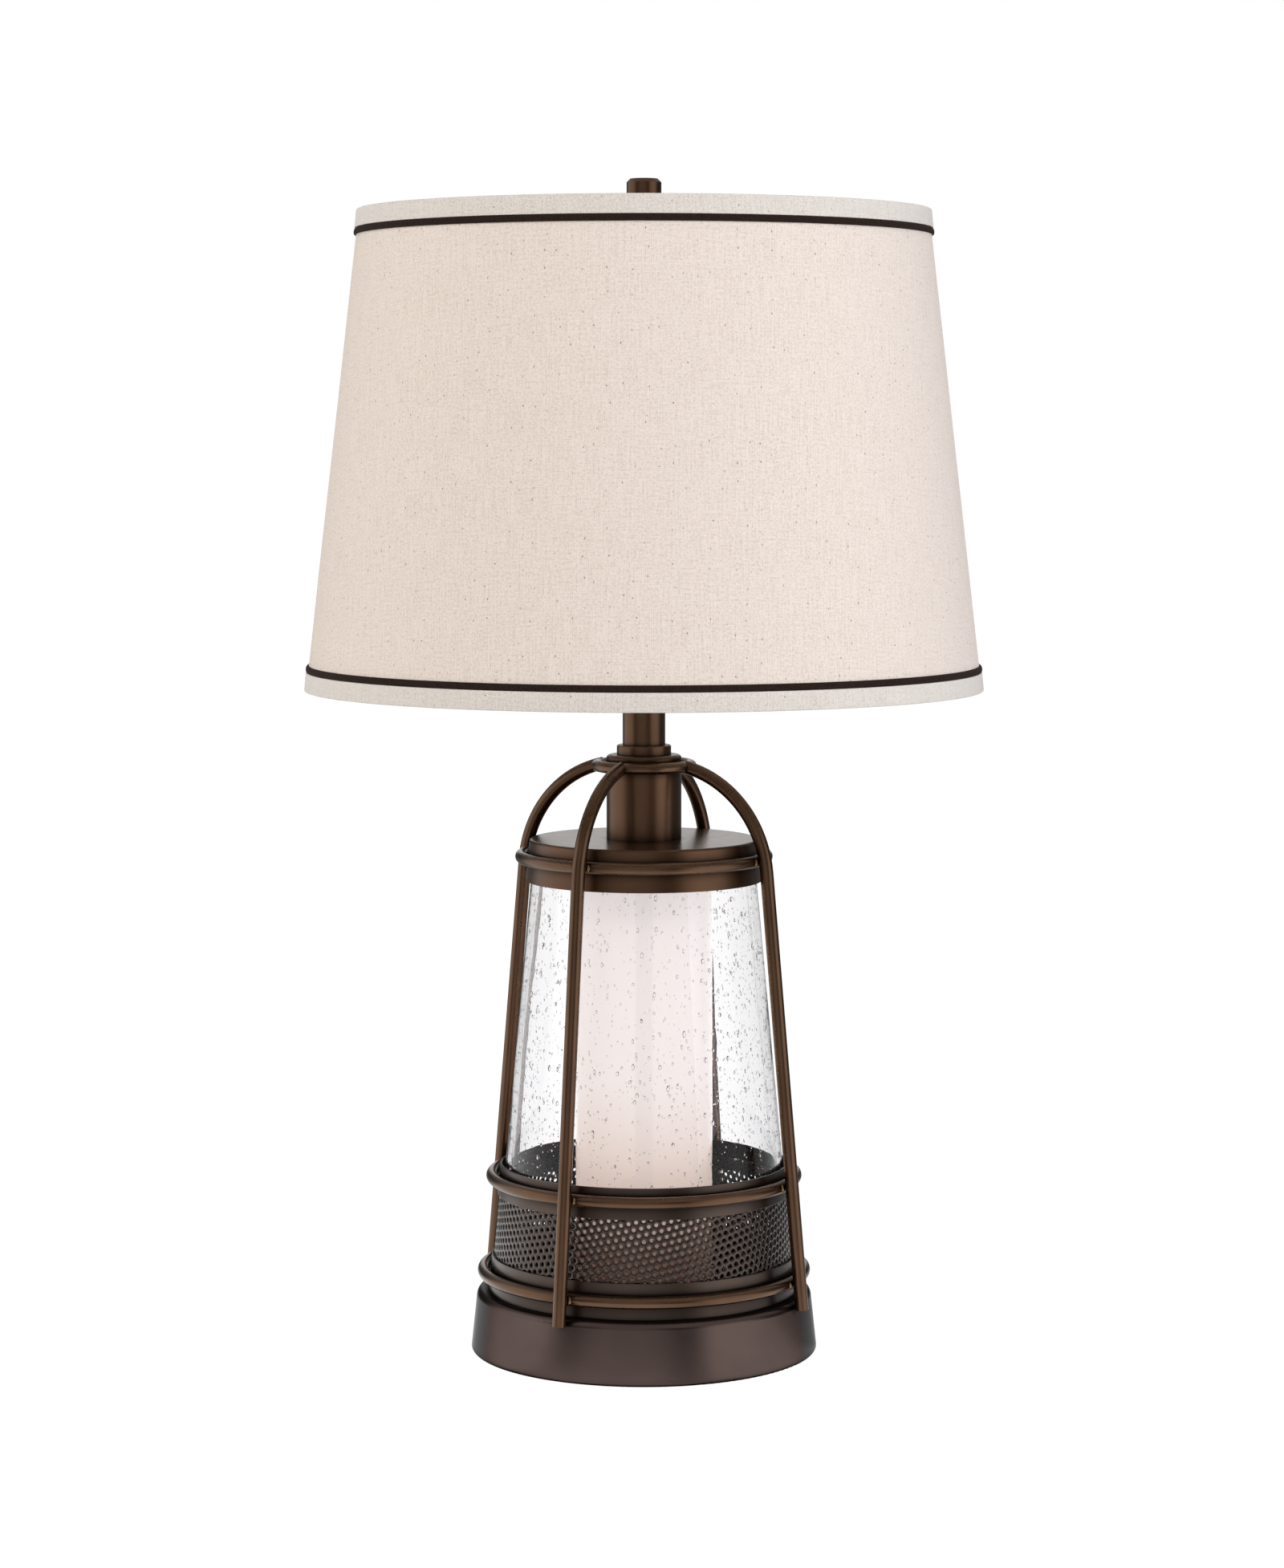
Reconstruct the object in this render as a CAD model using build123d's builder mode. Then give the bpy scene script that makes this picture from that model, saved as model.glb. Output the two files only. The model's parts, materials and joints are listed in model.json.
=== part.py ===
from build123d import *
import os
from math import acos, atan2, cos, floor, pi, radians, sin, sqrt, tan

# Table lamp: a glass lantern in a cage of bent bars, on a weighted base, under a tapered shade.
# Millimetres, +Z up, origin at the middle of the felt pad's lower face.

os.makedirs("parts", exist_ok=True)

# Fits
weld_gap = 0.1
slip_gap = 0.3
running_gap = 0.1
pipe_gap = 0.2

# Base
felt_thickness = 2.0
felt_inset = 7.0
foot_lift = 0.4
base_height = 35.1
base_flare = 3.8
base_wall = 1.5
base_shoulder_fillet = 4.5
base_foot_fillet = 2.0
foot_width = 6.0
foot_height = 5.5
bottom_plate_thickness = 1.5
weight_thickness = 10.0
weight_margin = 12.0
washer_radius = 16.0
washer_thickness = 2.0
nut_across_flats = 15.0
nut_height = 6.0
cord_inlet_height = 11.0
cord_bore_radius = 3.2
bushing_wall = 1.4
bushing_flange_width = 2.2
bushing_flange_thickness = 1.8
bushing_reach = 4.0

# Lamp pipe
pipe_radius = 5.0
pipe_wall = 1.5
pipe_tail = 3.0

# Lantern
lantern_taper = 5.3
glass_foot_radius = 85.3
glass_height = 253.5
glass_wall = 3.0
glass_top_gap = 0.5
tube_radius = 38.75
tube_wall = 3.0
seat_thickness = 2.0
seat_margin = 2.5
seat_spigot_height = 5.0
seat_spigot_wall = 2.0
night_socket_radius = 10.5
night_socket_height = 30.0
night_cap_radius = 6.0
night_cap_height = 20.0
night_cap_standout = 3.0
night_bulb_radius = 9.0
night_bulb_neck_radius = 5.2
night_bulb_neck_length = 15.0
night_bulb_wall = 0.8

# Sleeve round the foot of the glass
band_gap = 0.9
band_thickness = 0.8
band_tuck = 8.0
collar_wall = 1.1
lower_collar_height = 19.9
window_height = 34.5
upper_collar_height = 17.4
collar_edge_fillet = 0.4
perforation_pitch = 8.8
perforation_radius = 2.1
perforation_margin = 0.6

# Glass cap
cap_height = 23.4
cap_wall = 1.5
cap_plate_thickness = 2.2
cap_edge_fillet = 1.6

# Cage
ring_wire = 7.0
leg_rod = 7.5
leg_bend_radius = 64.0
leg_overhang = 3.5
leg_base_clearance = 1.0
leg_start_angle = 45.0
leg_names = ("back_right", "back_left", "front_left", "front_right")
lower_ring_rise = 10.3
middle_ring_drop = 7.3
upper_ring_drop = 9.9

# Column and neck
column_radius = 21.1
column_wall = 1.5
column_height = 39.8
crown_plate_thickness = 3.0
crown_gap = 2.1
crown_wire = 6.4
column_cap_height = 4.8
column_cap_fillet = 2.0
neck_collar_radius = 15.3
neck_collar_height = 5.4
neck_collar_chamfer = 0.6
neck_radius = 12.0
neck_wall = 1.5
neck_height = 53.3

# Harp
harp_height = 235.0
harp_foot_spacing = 54.0
harp_width = 100.0
harp_wire_thickness = 3.6
harp_flare = 30.0
harp_bend_radius = 30.0
harp_shoulder_radius = 40.0
saddle_thickness = 1.6
saddle_width = 12.0
saddle_flat = 20.0
saddle_pad_length = 9.0
saddle_post_height = 8.0
sleeve_length = 16.0
sleeve_wall = 1.6
sleeve_travel = 12.0
harp_straight_spare = 2.0
rest_radius = 9.0
rest_thickness = 2.0
crimp_radius = 5.0
crimp_wall = 1.2
stud_radius = 3.05
stud_length = 12.0

# Socket and main bulb
socket_radius = 16.5
socket_wall = 0.9
socket_cap_height = 16.0
socket_mouth_radius = 8.0
socket_bead_radius = 0.8
socket_shell_height = 40.0
socket_lip_flare = 1.2
socket_lip_height = 4.0
socket_body_rise = 12.0
screw_shell_wall = 0.5
bulb_cap_radius = 13.0
bulb_cap_height = 24.0
bulb_contact_radius = 5.0
bulb_contact_height = 2.0
bulb_radius = 30.0
bulb_neck_length = 42.0
bulb_wall = 1.2
switch_rise = 6.5
shaft_radius = 2.0
shaft_depth = 7.0
shaft_standout = 13.0
knob_radius = 6.5
knob_length = 13.0
knob_gap = 2.0
knob_flute_radius = 0.9
knob_flutes = 14

# Shade
shade_height = 266.3
shade_top_radius = 159.4
shade_bottom_radius = 190.5
shade_rise = 9.5
panel_thickness = 1.2
hem_thickness = 1.2
hem_height = 10.3
hem_lip = 3.0
piping_height = 3.7
piping_thickness = 1.4
shade_wire = 3.0
spider_rim = 2.8
spider_washer_thickness = 1.6
spider_arms = 3
spider_run = 8.0
spider_ramp = 12.0
spider_bend_radius = 5.0

# Finial
finial_radius = 9.7
finial_height = 25.4
finial_chamfer = 2.0
finial_bore_spare = 1.5

# Heights that follow from the sizes above
slope = tan(radians(lantern_taper))
slant = cos(radians(lantern_taper))
base_top = foot_lift + base_height
window_bottom = base_top + lower_collar_height
window_top = window_bottom + window_height
collar_top = window_top + upper_collar_height
glass_top = base_top + glass_height
cap_underside = glass_top + glass_top_gap
cap_top = cap_underside + cap_plate_thickness
cap_bottom = cap_top - cap_height
column_top = cap_top + column_height
crown_ring_height = column_top + crown_plate_thickness / 2
column_cap_bottom = column_top + crown_plate_thickness
neck_collar_bottom = column_cap_bottom + column_cap_height
neck_bottom = neck_collar_bottom + neck_collar_height
neck_top = neck_bottom + neck_height
socket_bottom = neck_top + saddle_thickness
shell_bottom = socket_bottom + socket_cap_height
shell_top = shell_bottom + socket_shell_height
rest_top = neck_top + harp_height
spider_washer_top = rest_top + spider_washer_thickness
shade_top = rest_top + shade_rise
shade_bottom = shade_top - shade_height
tube_bottom = base_top + seat_thickness
tube_top = cap_underside - seat_thickness
weight_bottom = base_top - base_wall - weight_thickness
nut_top = weight_bottom - washer_thickness

# Radii that follow
pipe_hole = pipe_radius + pipe_gap
tube_bore = tube_radius - tube_wall
sleeve_standoff = band_gap + band_thickness + weld_gap + collar_wall
crown_ring_radius = column_radius + crown_gap + crown_wire / 2
spider_washer_radius = finial_radius + spider_rim


def glass_radius(height):
    """Outer radius of the lantern glass at a height."""
    return glass_foot_radius - (height - base_top) * slope


def sleeve_radius(height):
    """Outer radius of the collars and the cap's skirt at a height."""
    return glass_radius(height) + sleeve_standoff


def ring_radius(height):
    """Radius of the middle of a ring's bar where it hugs a sleeve."""
    return sleeve_radius(height) + (slip_gap + ring_wire / 2) / slant


def leg_radius(height):
    """Distance of a leg's middle line from the lamp's axis."""
    return ring_radius(height) + (ring_wire / 2 + weld_gap + leg_rod / 2) / slant


def base_radius(height):
    """Outer radius of the base's side at a height, before its edges are rounded."""
    shoulder_radius = leg_radius(base_top) - leg_rod / 2 / slant - leg_base_clearance
    return shoulder_radius + base_flare * (base_top - height) / base_height


def panel_radius(height):
    """Outer radius of the shade's panel at a height."""
    spread = (shade_bottom_radius - shade_top_radius) / shade_height
    return shade_top_radius - hem_thickness - weld_gap + spread * (shade_top - height)


def save(builder, name):
    """Labels a finished piece and writes it to its own file."""
    builder.part.label = name
    export_step(builder.part, f"parts/{name}.step")


def upright_plane(angle):
    """Plane through the lamp's axis: local x runs outwards at an angle, local y runs up."""
    turn = radians(angle)
    return Plane(origin=(0, 0, 0), x_dir=(cos(turn), sin(turn), 0), z_dir=(sin(turn), -cos(turn), 0))


# Base
foot_radius = base_radius(foot_lift)
foot_opening = foot_radius - foot_width

with BuildPart() as base_felt_pad:
    Cylinder(foot_radius - felt_inset, felt_thickness, align=(Align.CENTER, Align.CENTER, Align.MIN))
save(base_felt_pad, "base_felt_pad")

with BuildPart(Plane.XY.offset(felt_thickness)) as base_bottom_plate:
    Cylinder(
        foot_opening - slip_gap,
        bottom_plate_thickness,
        align=(Align.CENTER, Align.CENTER, Align.MIN),
    )
save(base_bottom_plate, "base_bottom_plate")

# The outside of the base as one solid, which the pan and the bushing both follow.
with BuildPart() as base_form:
    with BuildSketch(Plane.XZ):
        with BuildLine():
            Polyline(
                (0, foot_lift),
                (foot_radius, foot_lift),
                (base_radius(base_top), base_top),
                (0, base_top),
                close=True,
            )
        make_face()
    revolve(axis=Axis.Z)
    rims = base_form.edges().filter_by(GeomType.CIRCLE).sort_by(Axis.Z)
    fillet(rims[-1], base_shoulder_fillet)
    fillet(rims[0], base_foot_fillet)

cord_inlet_z = felt_thickness + cord_inlet_height
bushing_radius = cord_bore_radius + bushing_wall
wall_radius = base_radius(cord_inlet_z)
rear_plane = Plane(origin=(0, 0, cord_inlet_z), x_dir=(1, 0, 0), z_dir=(0, 1, 0))

with BuildPart() as base_pan:
    add(base_form.part)
    with BuildSketch(Plane.XZ):
        with BuildLine():
            Polyline(
                (0, foot_lift),
                (foot_opening, foot_lift),
                (foot_opening, foot_lift + foot_height),
                (base_radius(foot_lift + foot_height) - base_wall, foot_lift + foot_height),
                (base_radius(base_top - base_wall) - base_wall, base_top - base_wall),
                (0, base_top - base_wall),
                close=True,
            )
        cavity = make_face()
        fillet(
            cavity.vertices().group_by(Axis.Y)[-1].sort_by(Axis.X)[-1],
            base_shoulder_fillet - base_wall,
        )
    revolve(axis=Axis.Z, mode=Mode.SUBTRACT)
    Cylinder(pipe_hole, 2 * base_top, mode=Mode.SUBTRACT)
    with BuildSketch(rear_plane):
        Circle(bushing_radius + weld_gap)
    extrude(amount=foot_radius, mode=Mode.SUBTRACT)
save(base_pan, "base_pan")

with BuildPart() as cord_bushing:
    with BuildSketch(rear_plane.offset(wall_radius - bushing_flange_thickness)):
        Circle(bushing_radius + bushing_flange_width)
    extrude(amount=2 * bushing_flange_thickness)
    add(base_form.part, mode=Mode.SUBTRACT)
    with BuildSketch(rear_plane.offset(wall_radius - base_wall - bushing_reach)):
        Circle(bushing_radius)
    extrude(amount=base_wall + bushing_reach + bushing_flange_thickness)
    with BuildSketch(rear_plane):
        Circle(cord_bore_radius)
    extrude(amount=foot_radius + bushing_flange_thickness, mode=Mode.SUBTRACT)
save(cord_bushing, "cord_bushing")

with BuildPart(Plane.XY.offset(weight_bottom)) as base_weight:
    weight_radius = base_radius(base_top) - base_wall - weight_margin
    Cylinder(weight_radius, weight_thickness, align=(Align.CENTER, Align.CENTER, Align.MIN))
    chamfer(base_weight.edges().sort_by(Axis.Z)[0], weight_thickness / 4)
    Hole(pipe_hole)
save(base_weight, "base_weight")

with BuildPart(Plane.XY.offset(nut_top)) as bottom_washer:
    Cylinder(washer_radius, washer_thickness, align=(Align.CENTER, Align.CENTER, Align.MIN))
    Hole(pipe_hole)
save(bottom_washer, "bottom_washer")

with BuildPart(Plane.XY.offset(nut_top - nut_height)) as bottom_nut:
    with BuildSketch(Plane.XY.offset(nut_top - nut_height)):
        RegularPolygon(nut_across_flats / 2, 6, major_radius=False)
        Circle(pipe_radius + running_gap, mode=Mode.SUBTRACT)
    extrude(amount=nut_height)
save(bottom_nut, "bottom_nut")

pipe_bottom = nut_top - nut_height - pipe_tail
with BuildPart() as lamp_pipe:
    with BuildSketch(Plane.XY.offset(pipe_bottom)):
        Circle(pipe_radius)
        Circle(pipe_radius - pipe_wall, mode=Mode.SUBTRACT)
    extrude(amount=socket_bottom + saddle_thickness - pipe_bottom)
save(lamp_pipe, "lamp_pipe")

# Inner tube, its two seats and the small lamp beside the pipe
for seat_name, seat_plane in (
    ("lower_tube_seat", Plane.XY.offset(base_top)),
    ("upper_tube_seat", Plane(origin=(0, 0, cap_underside), z_dir=(0, 0, -1))),
):
    with BuildPart(seat_plane) as tube_seat:
        Cylinder(
            tube_radius + seat_margin,
            seat_thickness,
            align=(Align.CENTER, Align.CENTER, Align.MIN),
        )
        with BuildSketch(seat_plane.offset(seat_thickness)):
            Circle(tube_bore - slip_gap)
            Circle(tube_bore - slip_gap - seat_spigot_wall, mode=Mode.SUBTRACT)
        extrude(amount=seat_spigot_height)
        with BuildSketch(seat_plane):
            Circle(pipe_hole)
        extrude(amount=seat_thickness, mode=Mode.SUBTRACT)
    save(tube_seat, seat_name)

with BuildPart() as inner_tube:
    with BuildSketch(Plane.XY.offset(tube_bottom)):
        Circle(tube_radius)
        Circle(tube_bore, mode=Mode.SUBTRACT)
    extrude(amount=tube_top - tube_bottom)
save(inner_tube, "inner_tube")

night_offset = (pipe_radius + tube_bore - seat_spigot_wall) / 2
night_plane = Plane(origin=(0, night_offset, tube_bottom))
night_socket_top = tube_bottom + night_socket_height
night_bore_radius = night_cap_radius + slip_gap
night_bore_depth = night_cap_height - night_cap_standout
night_contact_z = night_socket_top - night_bore_depth

with BuildPart() as night_light_socket:
    with BuildSketch(night_plane):
        Circle(night_socket_radius)
    extrude(amount=night_socket_height)
    fillet(night_light_socket.edges().sort_by(Axis.Z)[-1], (night_socket_radius - night_bore_radius) / 3)
    with BuildSketch(night_plane.offset(night_socket_height)):
        Circle(night_bore_radius)
    extrude(amount=-night_bore_depth, mode=Mode.SUBTRACT)
save(night_light_socket, "night_light_socket")

with BuildPart() as night_light_bulb_cap:
    with BuildSketch(night_plane.offset(night_contact_z - tube_bottom)):
        Circle(night_cap_radius)
    extrude(amount=night_cap_height)
    chamfer(night_light_bulb_cap.edges().sort_by(Axis.Z)[0], night_cap_radius / 3)
save(night_light_bulb_cap, "night_light_bulb_cap")


def bulb_outline(neck_radius, neck_length, radius, bottom):
    """Half outline of a bulb: a ball on a cone that runs tangent into it."""
    middle = bottom + neck_length
    reach = sqrt(neck_radius**2 + neck_length**2)
    touch = atan2(-neck_length, neck_radius) + acos(radius / reach)
    touch_point = (radius * cos(touch), middle + radius * sin(touch))
    top_point = (0, middle + radius)
    half_way = (touch + pi / 2) / 2
    arc_point = (radius * cos(half_way), middle + radius * sin(half_way))
    Line((0, bottom), (neck_radius, bottom))
    Line((neck_radius, bottom), touch_point)
    ThreePointArc(touch_point, arc_point, top_point)
    Line(top_point, (0, bottom))


night_bulb_bottom = night_contact_z + night_cap_height
night_axis = Axis((0, night_offset, 0), (0, 0, 1))
night_section = Plane(origin=(0, night_offset, 0), x_dir=(1, 0, 0), z_dir=(0, -1, 0))

with BuildPart() as night_light_bulb:
    with BuildSketch(night_section):
        with BuildLine():
            bulb_outline(night_bulb_neck_radius, night_bulb_neck_length, night_bulb_radius, night_bulb_bottom)
        make_face()
    revolve(axis=night_axis)
    with BuildSketch(night_section):
        with BuildLine():
            bulb_outline(
                night_bulb_neck_radius - night_bulb_wall,
                night_bulb_neck_length,
                night_bulb_radius - night_bulb_wall,
                night_bulb_bottom,
            )
        make_face()
    revolve(axis=night_axis, mode=Mode.SUBTRACT)
save(night_light_bulb, "night_light_bulb")

# Lantern glass and the sleeve round its foot


def taper_outline(outer_radius, wall, bottom, top):
    """Section through a tube whose outer radius changes with its height."""
    return [
        (outer_radius(bottom) - wall, bottom),
        (outer_radius(bottom), bottom),
        (outer_radius(top), top),
        (outer_radius(top) - wall, top),
    ]


def band_radius(height):
    """Outer radius of the perforated band, just inside the collars."""
    return sleeve_radius(height) - collar_wall - weld_gap


with BuildPart() as seedy_glass:
    with BuildSketch(Plane.XZ):
        with BuildLine():
            Polyline(*taper_outline(glass_radius, glass_wall, base_top, glass_top), close=True)
        make_face()
    revolve(axis=Axis.Z)
save(seedy_glass, "seedy_glass")

with BuildPart() as lower_collar:
    with BuildSketch(Plane.XZ):
        with BuildLine():
            Polyline(*taper_outline(sleeve_radius, collar_wall, base_top, window_bottom), close=True)
        make_face()
    revolve(axis=Axis.Z)
    fillet(lower_collar.edges().group_by(Axis.Z)[-1], collar_edge_fillet)
save(lower_collar, "lower_collar")

with BuildPart() as upper_collar:
    with BuildSketch(Plane.XZ):
        with BuildLine():
            Polyline(*taper_outline(sleeve_radius, collar_wall, window_top, collar_top), close=True)
        make_face()
    revolve(axis=Axis.Z)
    fillet(upper_collar.edges().group_by(Axis.Z)[0], collar_edge_fillet)
    fillet(upper_collar.edges().group_by(Axis.Z)[-1], collar_edge_fillet)
save(upper_collar, "upper_collar")

band_bottom = window_bottom - band_tuck
band_top = window_top + band_tuck
row_pitch = perforation_pitch * sqrt(3) / 2
row_room = window_height - 2 * (perforation_radius + perforation_margin)
row_count = 1 + floor(row_room / row_pitch)
column_count = floor(2 * pi * band_radius(window_top) / perforation_pitch)
first_row = (window_bottom + window_top - (row_count - 1) * row_pitch) / 2
punch_length = band_radius(window_bottom) - band_radius(window_top) + 3 * band_thickness
punch_places = [
    Location((0, 0, first_row + row * row_pitch), (0, 0, (column + row % 2 / 2) * 360 / column_count))
    for row in range(row_count)
    for column in range(column_count)
]

with BuildPart() as perforated_band:
    with BuildSketch(Plane.XZ):
        with BuildLine():
            Polyline(*taper_outline(band_radius, band_thickness, band_bottom, band_top), close=True)
        make_face()
    revolve(axis=Axis.Z)
    with BuildSketch(Plane.YZ.offset(band_radius(window_top) - 2 * band_thickness)) as hole:
        RegularPolygon(perforation_radius, 6)
    punch = extrude(hole.sketch, amount=punch_length, mode=Mode.PRIVATE)
    with Locations(*punch_places):
        add(punch, mode=Mode.SUBTRACT)
save(perforated_band, "perforated_band")

with BuildPart() as glass_cap:
    with BuildSketch(Plane.XZ):
        with BuildLine():
            Polyline(
                (sleeve_radius(cap_bottom) - cap_wall, cap_bottom),
                (sleeve_radius(cap_bottom), cap_bottom),
                (sleeve_radius(cap_top), cap_top),
                (pipe_hole, cap_top),
                (pipe_hole, cap_underside),
                (sleeve_radius(cap_underside) - cap_wall, cap_underside),
                close=True,
            )
        make_face()
    revolve(axis=Axis.Z)
    fillet(glass_cap.edges().group_by(Axis.Z)[-1].sort_by(SortBy.LENGTH)[-1], cap_edge_fillet)
save(glass_cap, "glass_cap")

# Cage
lower_ring_z = base_top + lower_ring_rise
middle_ring_z = collar_top - middle_ring_drop
upper_ring_z = cap_top - upper_ring_drop

for ring_name, ring_z, major, minor in (
    ("lower_ring", lower_ring_z, ring_radius(lower_ring_z), ring_wire / 2),
    ("middle_ring", middle_ring_z, ring_radius(middle_ring_z), ring_wire / 2),
    ("upper_ring", upper_ring_z, ring_radius(upper_ring_z), ring_wire / 2),
    ("crown_ring", crown_ring_height, crown_ring_radius, crown_wire / 2),
):
    with BuildPart(Plane.XY.offset(ring_z)) as ring:
        Torus(major, minor)
    save(ring, ring_name)

# A leg runs up the cage's slope and bends over to the crown ring. The bend starts where an arc
# of the given radius, tangent to the slope, also passes through the middle of the crown ring's bar.
# The leg is notched where it meets the crown ring and where its bend passes the upper ring.
leg_foot_z = base_top - leg_overhang
leg_foot = Vector(leg_radius(leg_foot_z), leg_foot_z)
leg_up = Vector(-sin(radians(lantern_taper)), slant)
leg_out = Vector(slant, sin(radians(lantern_taper)))
leg_end = Vector(crown_ring_radius, crown_ring_height)
to_end = leg_end - (leg_foot - leg_out * leg_bend_radius)
along = to_end.dot(leg_up)
leg_straight = along - sqrt(along**2 - to_end.dot(to_end) + leg_bend_radius**2)
bend_start = leg_foot + leg_up * leg_straight

for index, leg_name in enumerate(leg_names):
    leg_plane = upright_plane(leg_start_angle + 90 * index)
    with BuildPart() as leg:
        with BuildLine(leg_plane) as leg_path:
            Line(tuple(leg_foot), tuple(bend_start))
            TangentArc(tuple(bend_start), tuple(leg_end), tangent=tuple(leg_up))
        with BuildSketch(Plane(origin=leg_path.line @ 0, z_dir=leg_path.line % 0)):
            Circle(leg_rod / 2)
        sweep()
        with Locations((0, 0, crown_ring_height)):
            Torus(crown_ring_radius, crown_wire / 2 + weld_gap, mode=Mode.SUBTRACT)
        with Locations((0, 0, upper_ring_z)):
            Torus(ring_radius(upper_ring_z), ring_wire / 2 + weld_gap, mode=Mode.SUBTRACT)
    save(leg, f"cage_leg_{leg_name}")

# Column and neck, clamped between the cap and the socket by the pipe
with BuildPart() as column:
    with BuildSketch(Plane.XY.offset(cap_top)):
        Circle(column_radius)
        Circle(column_radius - column_wall, mode=Mode.SUBTRACT)
    extrude(amount=column_height)
save(column, "column")

with BuildPart() as crown_plate:
    with BuildSketch(Plane.XY.offset(column_top)):
        Circle(crown_ring_radius - crown_wire / 2 - weld_gap)
        Circle(pipe_hole, mode=Mode.SUBTRACT)
    extrude(amount=crown_plate_thickness)
save(crown_plate, "crown_plate")

with BuildPart() as column_cap:
    with BuildSketch(Plane.XY.offset(column_cap_bottom)):
        Circle(column_radius)
        Circle(pipe_hole, mode=Mode.SUBTRACT)
    extrude(amount=column_cap_height)
    fillet(column_cap.edges().group_by(Axis.Z)[-1].sort_by(SortBy.LENGTH)[-1], column_cap_fillet)
save(column_cap, "column_cap")

with BuildPart() as neck_collar:
    with BuildSketch(Plane.XY.offset(neck_collar_bottom)):
        Circle(neck_collar_radius)
        Circle(pipe_hole, mode=Mode.SUBTRACT)
    extrude(amount=neck_collar_height)
    chamfer(neck_collar.edges().group_by(Axis.Z)[-1].sort_by(SortBy.LENGTH)[-1], neck_collar_chamfer)
save(neck_collar, "neck_collar")

with BuildPart() as neck_tube:
    with BuildSketch(Plane.XY.offset(neck_bottom)):
        Circle(neck_radius)
    extrude(amount=neck_height)
    with BuildSketch(Plane.XY.offset(neck_bottom)):
        Circle(neck_radius - neck_wall)
    extrude(amount=neck_height - neck_wall, mode=Mode.SUBTRACT)
    with BuildSketch(Plane.XY.offset(neck_top)):
        Circle(pipe_hole)
    extrude(amount=-neck_wall, mode=Mode.SUBTRACT)
save(neck_tube, "neck_tube")

# Harp: a bent strap under the socket carries a wire loop, held at each foot by a sliding sleeve
harp_foot_x = harp_foot_spacing / 2
wire_radius = harp_wire_thickness / 2
pad_inner = harp_foot_x - saddle_pad_length / 2
pad_outer = harp_foot_x + saddle_pad_length / 2
saddle_rise = pad_inner - saddle_flat / 2
saddle_miter = saddle_thickness * tan(pi / 8)
pad_top = neck_top + saddle_rise + saddle_thickness

with BuildPart() as harp_saddle:
    with BuildSketch(Plane.XZ.shift_origin((0, 0, neck_top))):
        with BuildLine():
            Polyline(
                (0, 0),
                (saddle_flat / 2, 0),
                (pad_inner, saddle_rise),
                (pad_outer, saddle_rise),
                (pad_outer, saddle_rise + saddle_thickness),
                (pad_inner - saddle_miter, saddle_rise + saddle_thickness),
                (saddle_flat / 2 - saddle_miter, saddle_thickness),
                (0, saddle_thickness),
            )
            mirror(about=Plane.YZ)
        make_face()
    extrude(amount=saddle_width / 2, both=True)
    with Locations((-harp_foot_x, 0, pad_top), (harp_foot_x, 0, pad_top)):
        Cylinder(wire_radius, saddle_post_height, align=(Align.CENTER, Align.CENTER, Align.MIN))
    with Locations((0, 0, neck_top)):
        Cylinder(pipe_hole, 4 * saddle_thickness, mode=Mode.SUBTRACT)
save(harp_saddle, "harp_saddle")

post_top = pad_top + saddle_post_height
bend_length = harp_bend_radius * tan(radians(harp_flare) / 2)
flare_bottom = pad_top + sleeve_length + sleeve_travel + harp_straight_spare + bend_length
flare_top = flare_bottom + (harp_width / 2 - harp_foot_x) / tan(radians(harp_flare))
harp_wire_top = rest_top - rest_thickness - wire_radius - weld_gap
harp_side = [
    (harp_foot_x, post_top),
    (harp_foot_x, flare_bottom),
    (harp_width / 2, flare_top),
    (harp_width / 2, harp_wire_top),
]
harp_other_side = [(-x, z) for x, z in reversed(harp_side)]
harp_radii = [harp_bend_radius, harp_bend_radius, harp_shoulder_radius]

with BuildPart() as harp_wire:
    with BuildLine(Plane.XZ):
        FilletPolyline(*harp_side, *harp_other_side, radius=harp_radii + harp_radii[::-1])
    with BuildSketch(Plane.XY.offset(post_top)):
        with Locations((harp_foot_x, 0)):
            Circle(wire_radius)
    sweep()
save(harp_wire, "harp_wire")

with BuildPart() as harp_stud:
    with Locations((0, 0, rest_top - rest_thickness)):
        Cylinder(
            crimp_radius,
            harp_wire_thickness + crimp_wall,
            align=(Align.CENTER, Align.CENTER, Align.MAX),
        )
        Cylinder(rest_radius, rest_thickness, align=(Align.CENTER, Align.CENTER, Align.MIN))
    with Locations((0, 0, rest_top)):
        Cylinder(stud_radius, stud_length, align=(Align.CENTER, Align.CENTER, Align.MIN))
    with BuildSketch(Plane.YZ.offset(-rest_radius)):
        with Locations((0, harp_wire_top)):
            Circle(wire_radius + weld_gap / 2)
    extrude(amount=2 * rest_radius, mode=Mode.SUBTRACT)
save(harp_stud, "harp_stud")

for sleeve_name, sleeve_x in (("harp_sleeve_left", -harp_foot_x), ("harp_sleeve_right", harp_foot_x)):
    with BuildPart() as sleeve:
        with BuildSketch(Plane.XY.offset(pad_top)):
            with Locations((sleeve_x, 0)):
                Circle(wire_radius + running_gap + sleeve_wall)
                Circle(wire_radius + running_gap, mode=Mode.SUBTRACT)
        extrude(amount=sleeve_length)
    save(sleeve, sleeve_name)

# Socket with its turn switch
socket_cone = socket_radius - socket_mouth_radius
body_bottom = socket_bottom + socket_body_rise
body_radius = socket_radius - socket_wall - slip_gap
screw_bore = bulb_cap_radius + slip_gap
contact_z = shell_top - bulb_cap_height - bulb_contact_height
switch_z = shell_bottom + switch_rise
front_plane = Plane(origin=(0, 0, switch_z), x_dir=(1, 0, 0), z_dir=(0, -1, 0))

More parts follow.
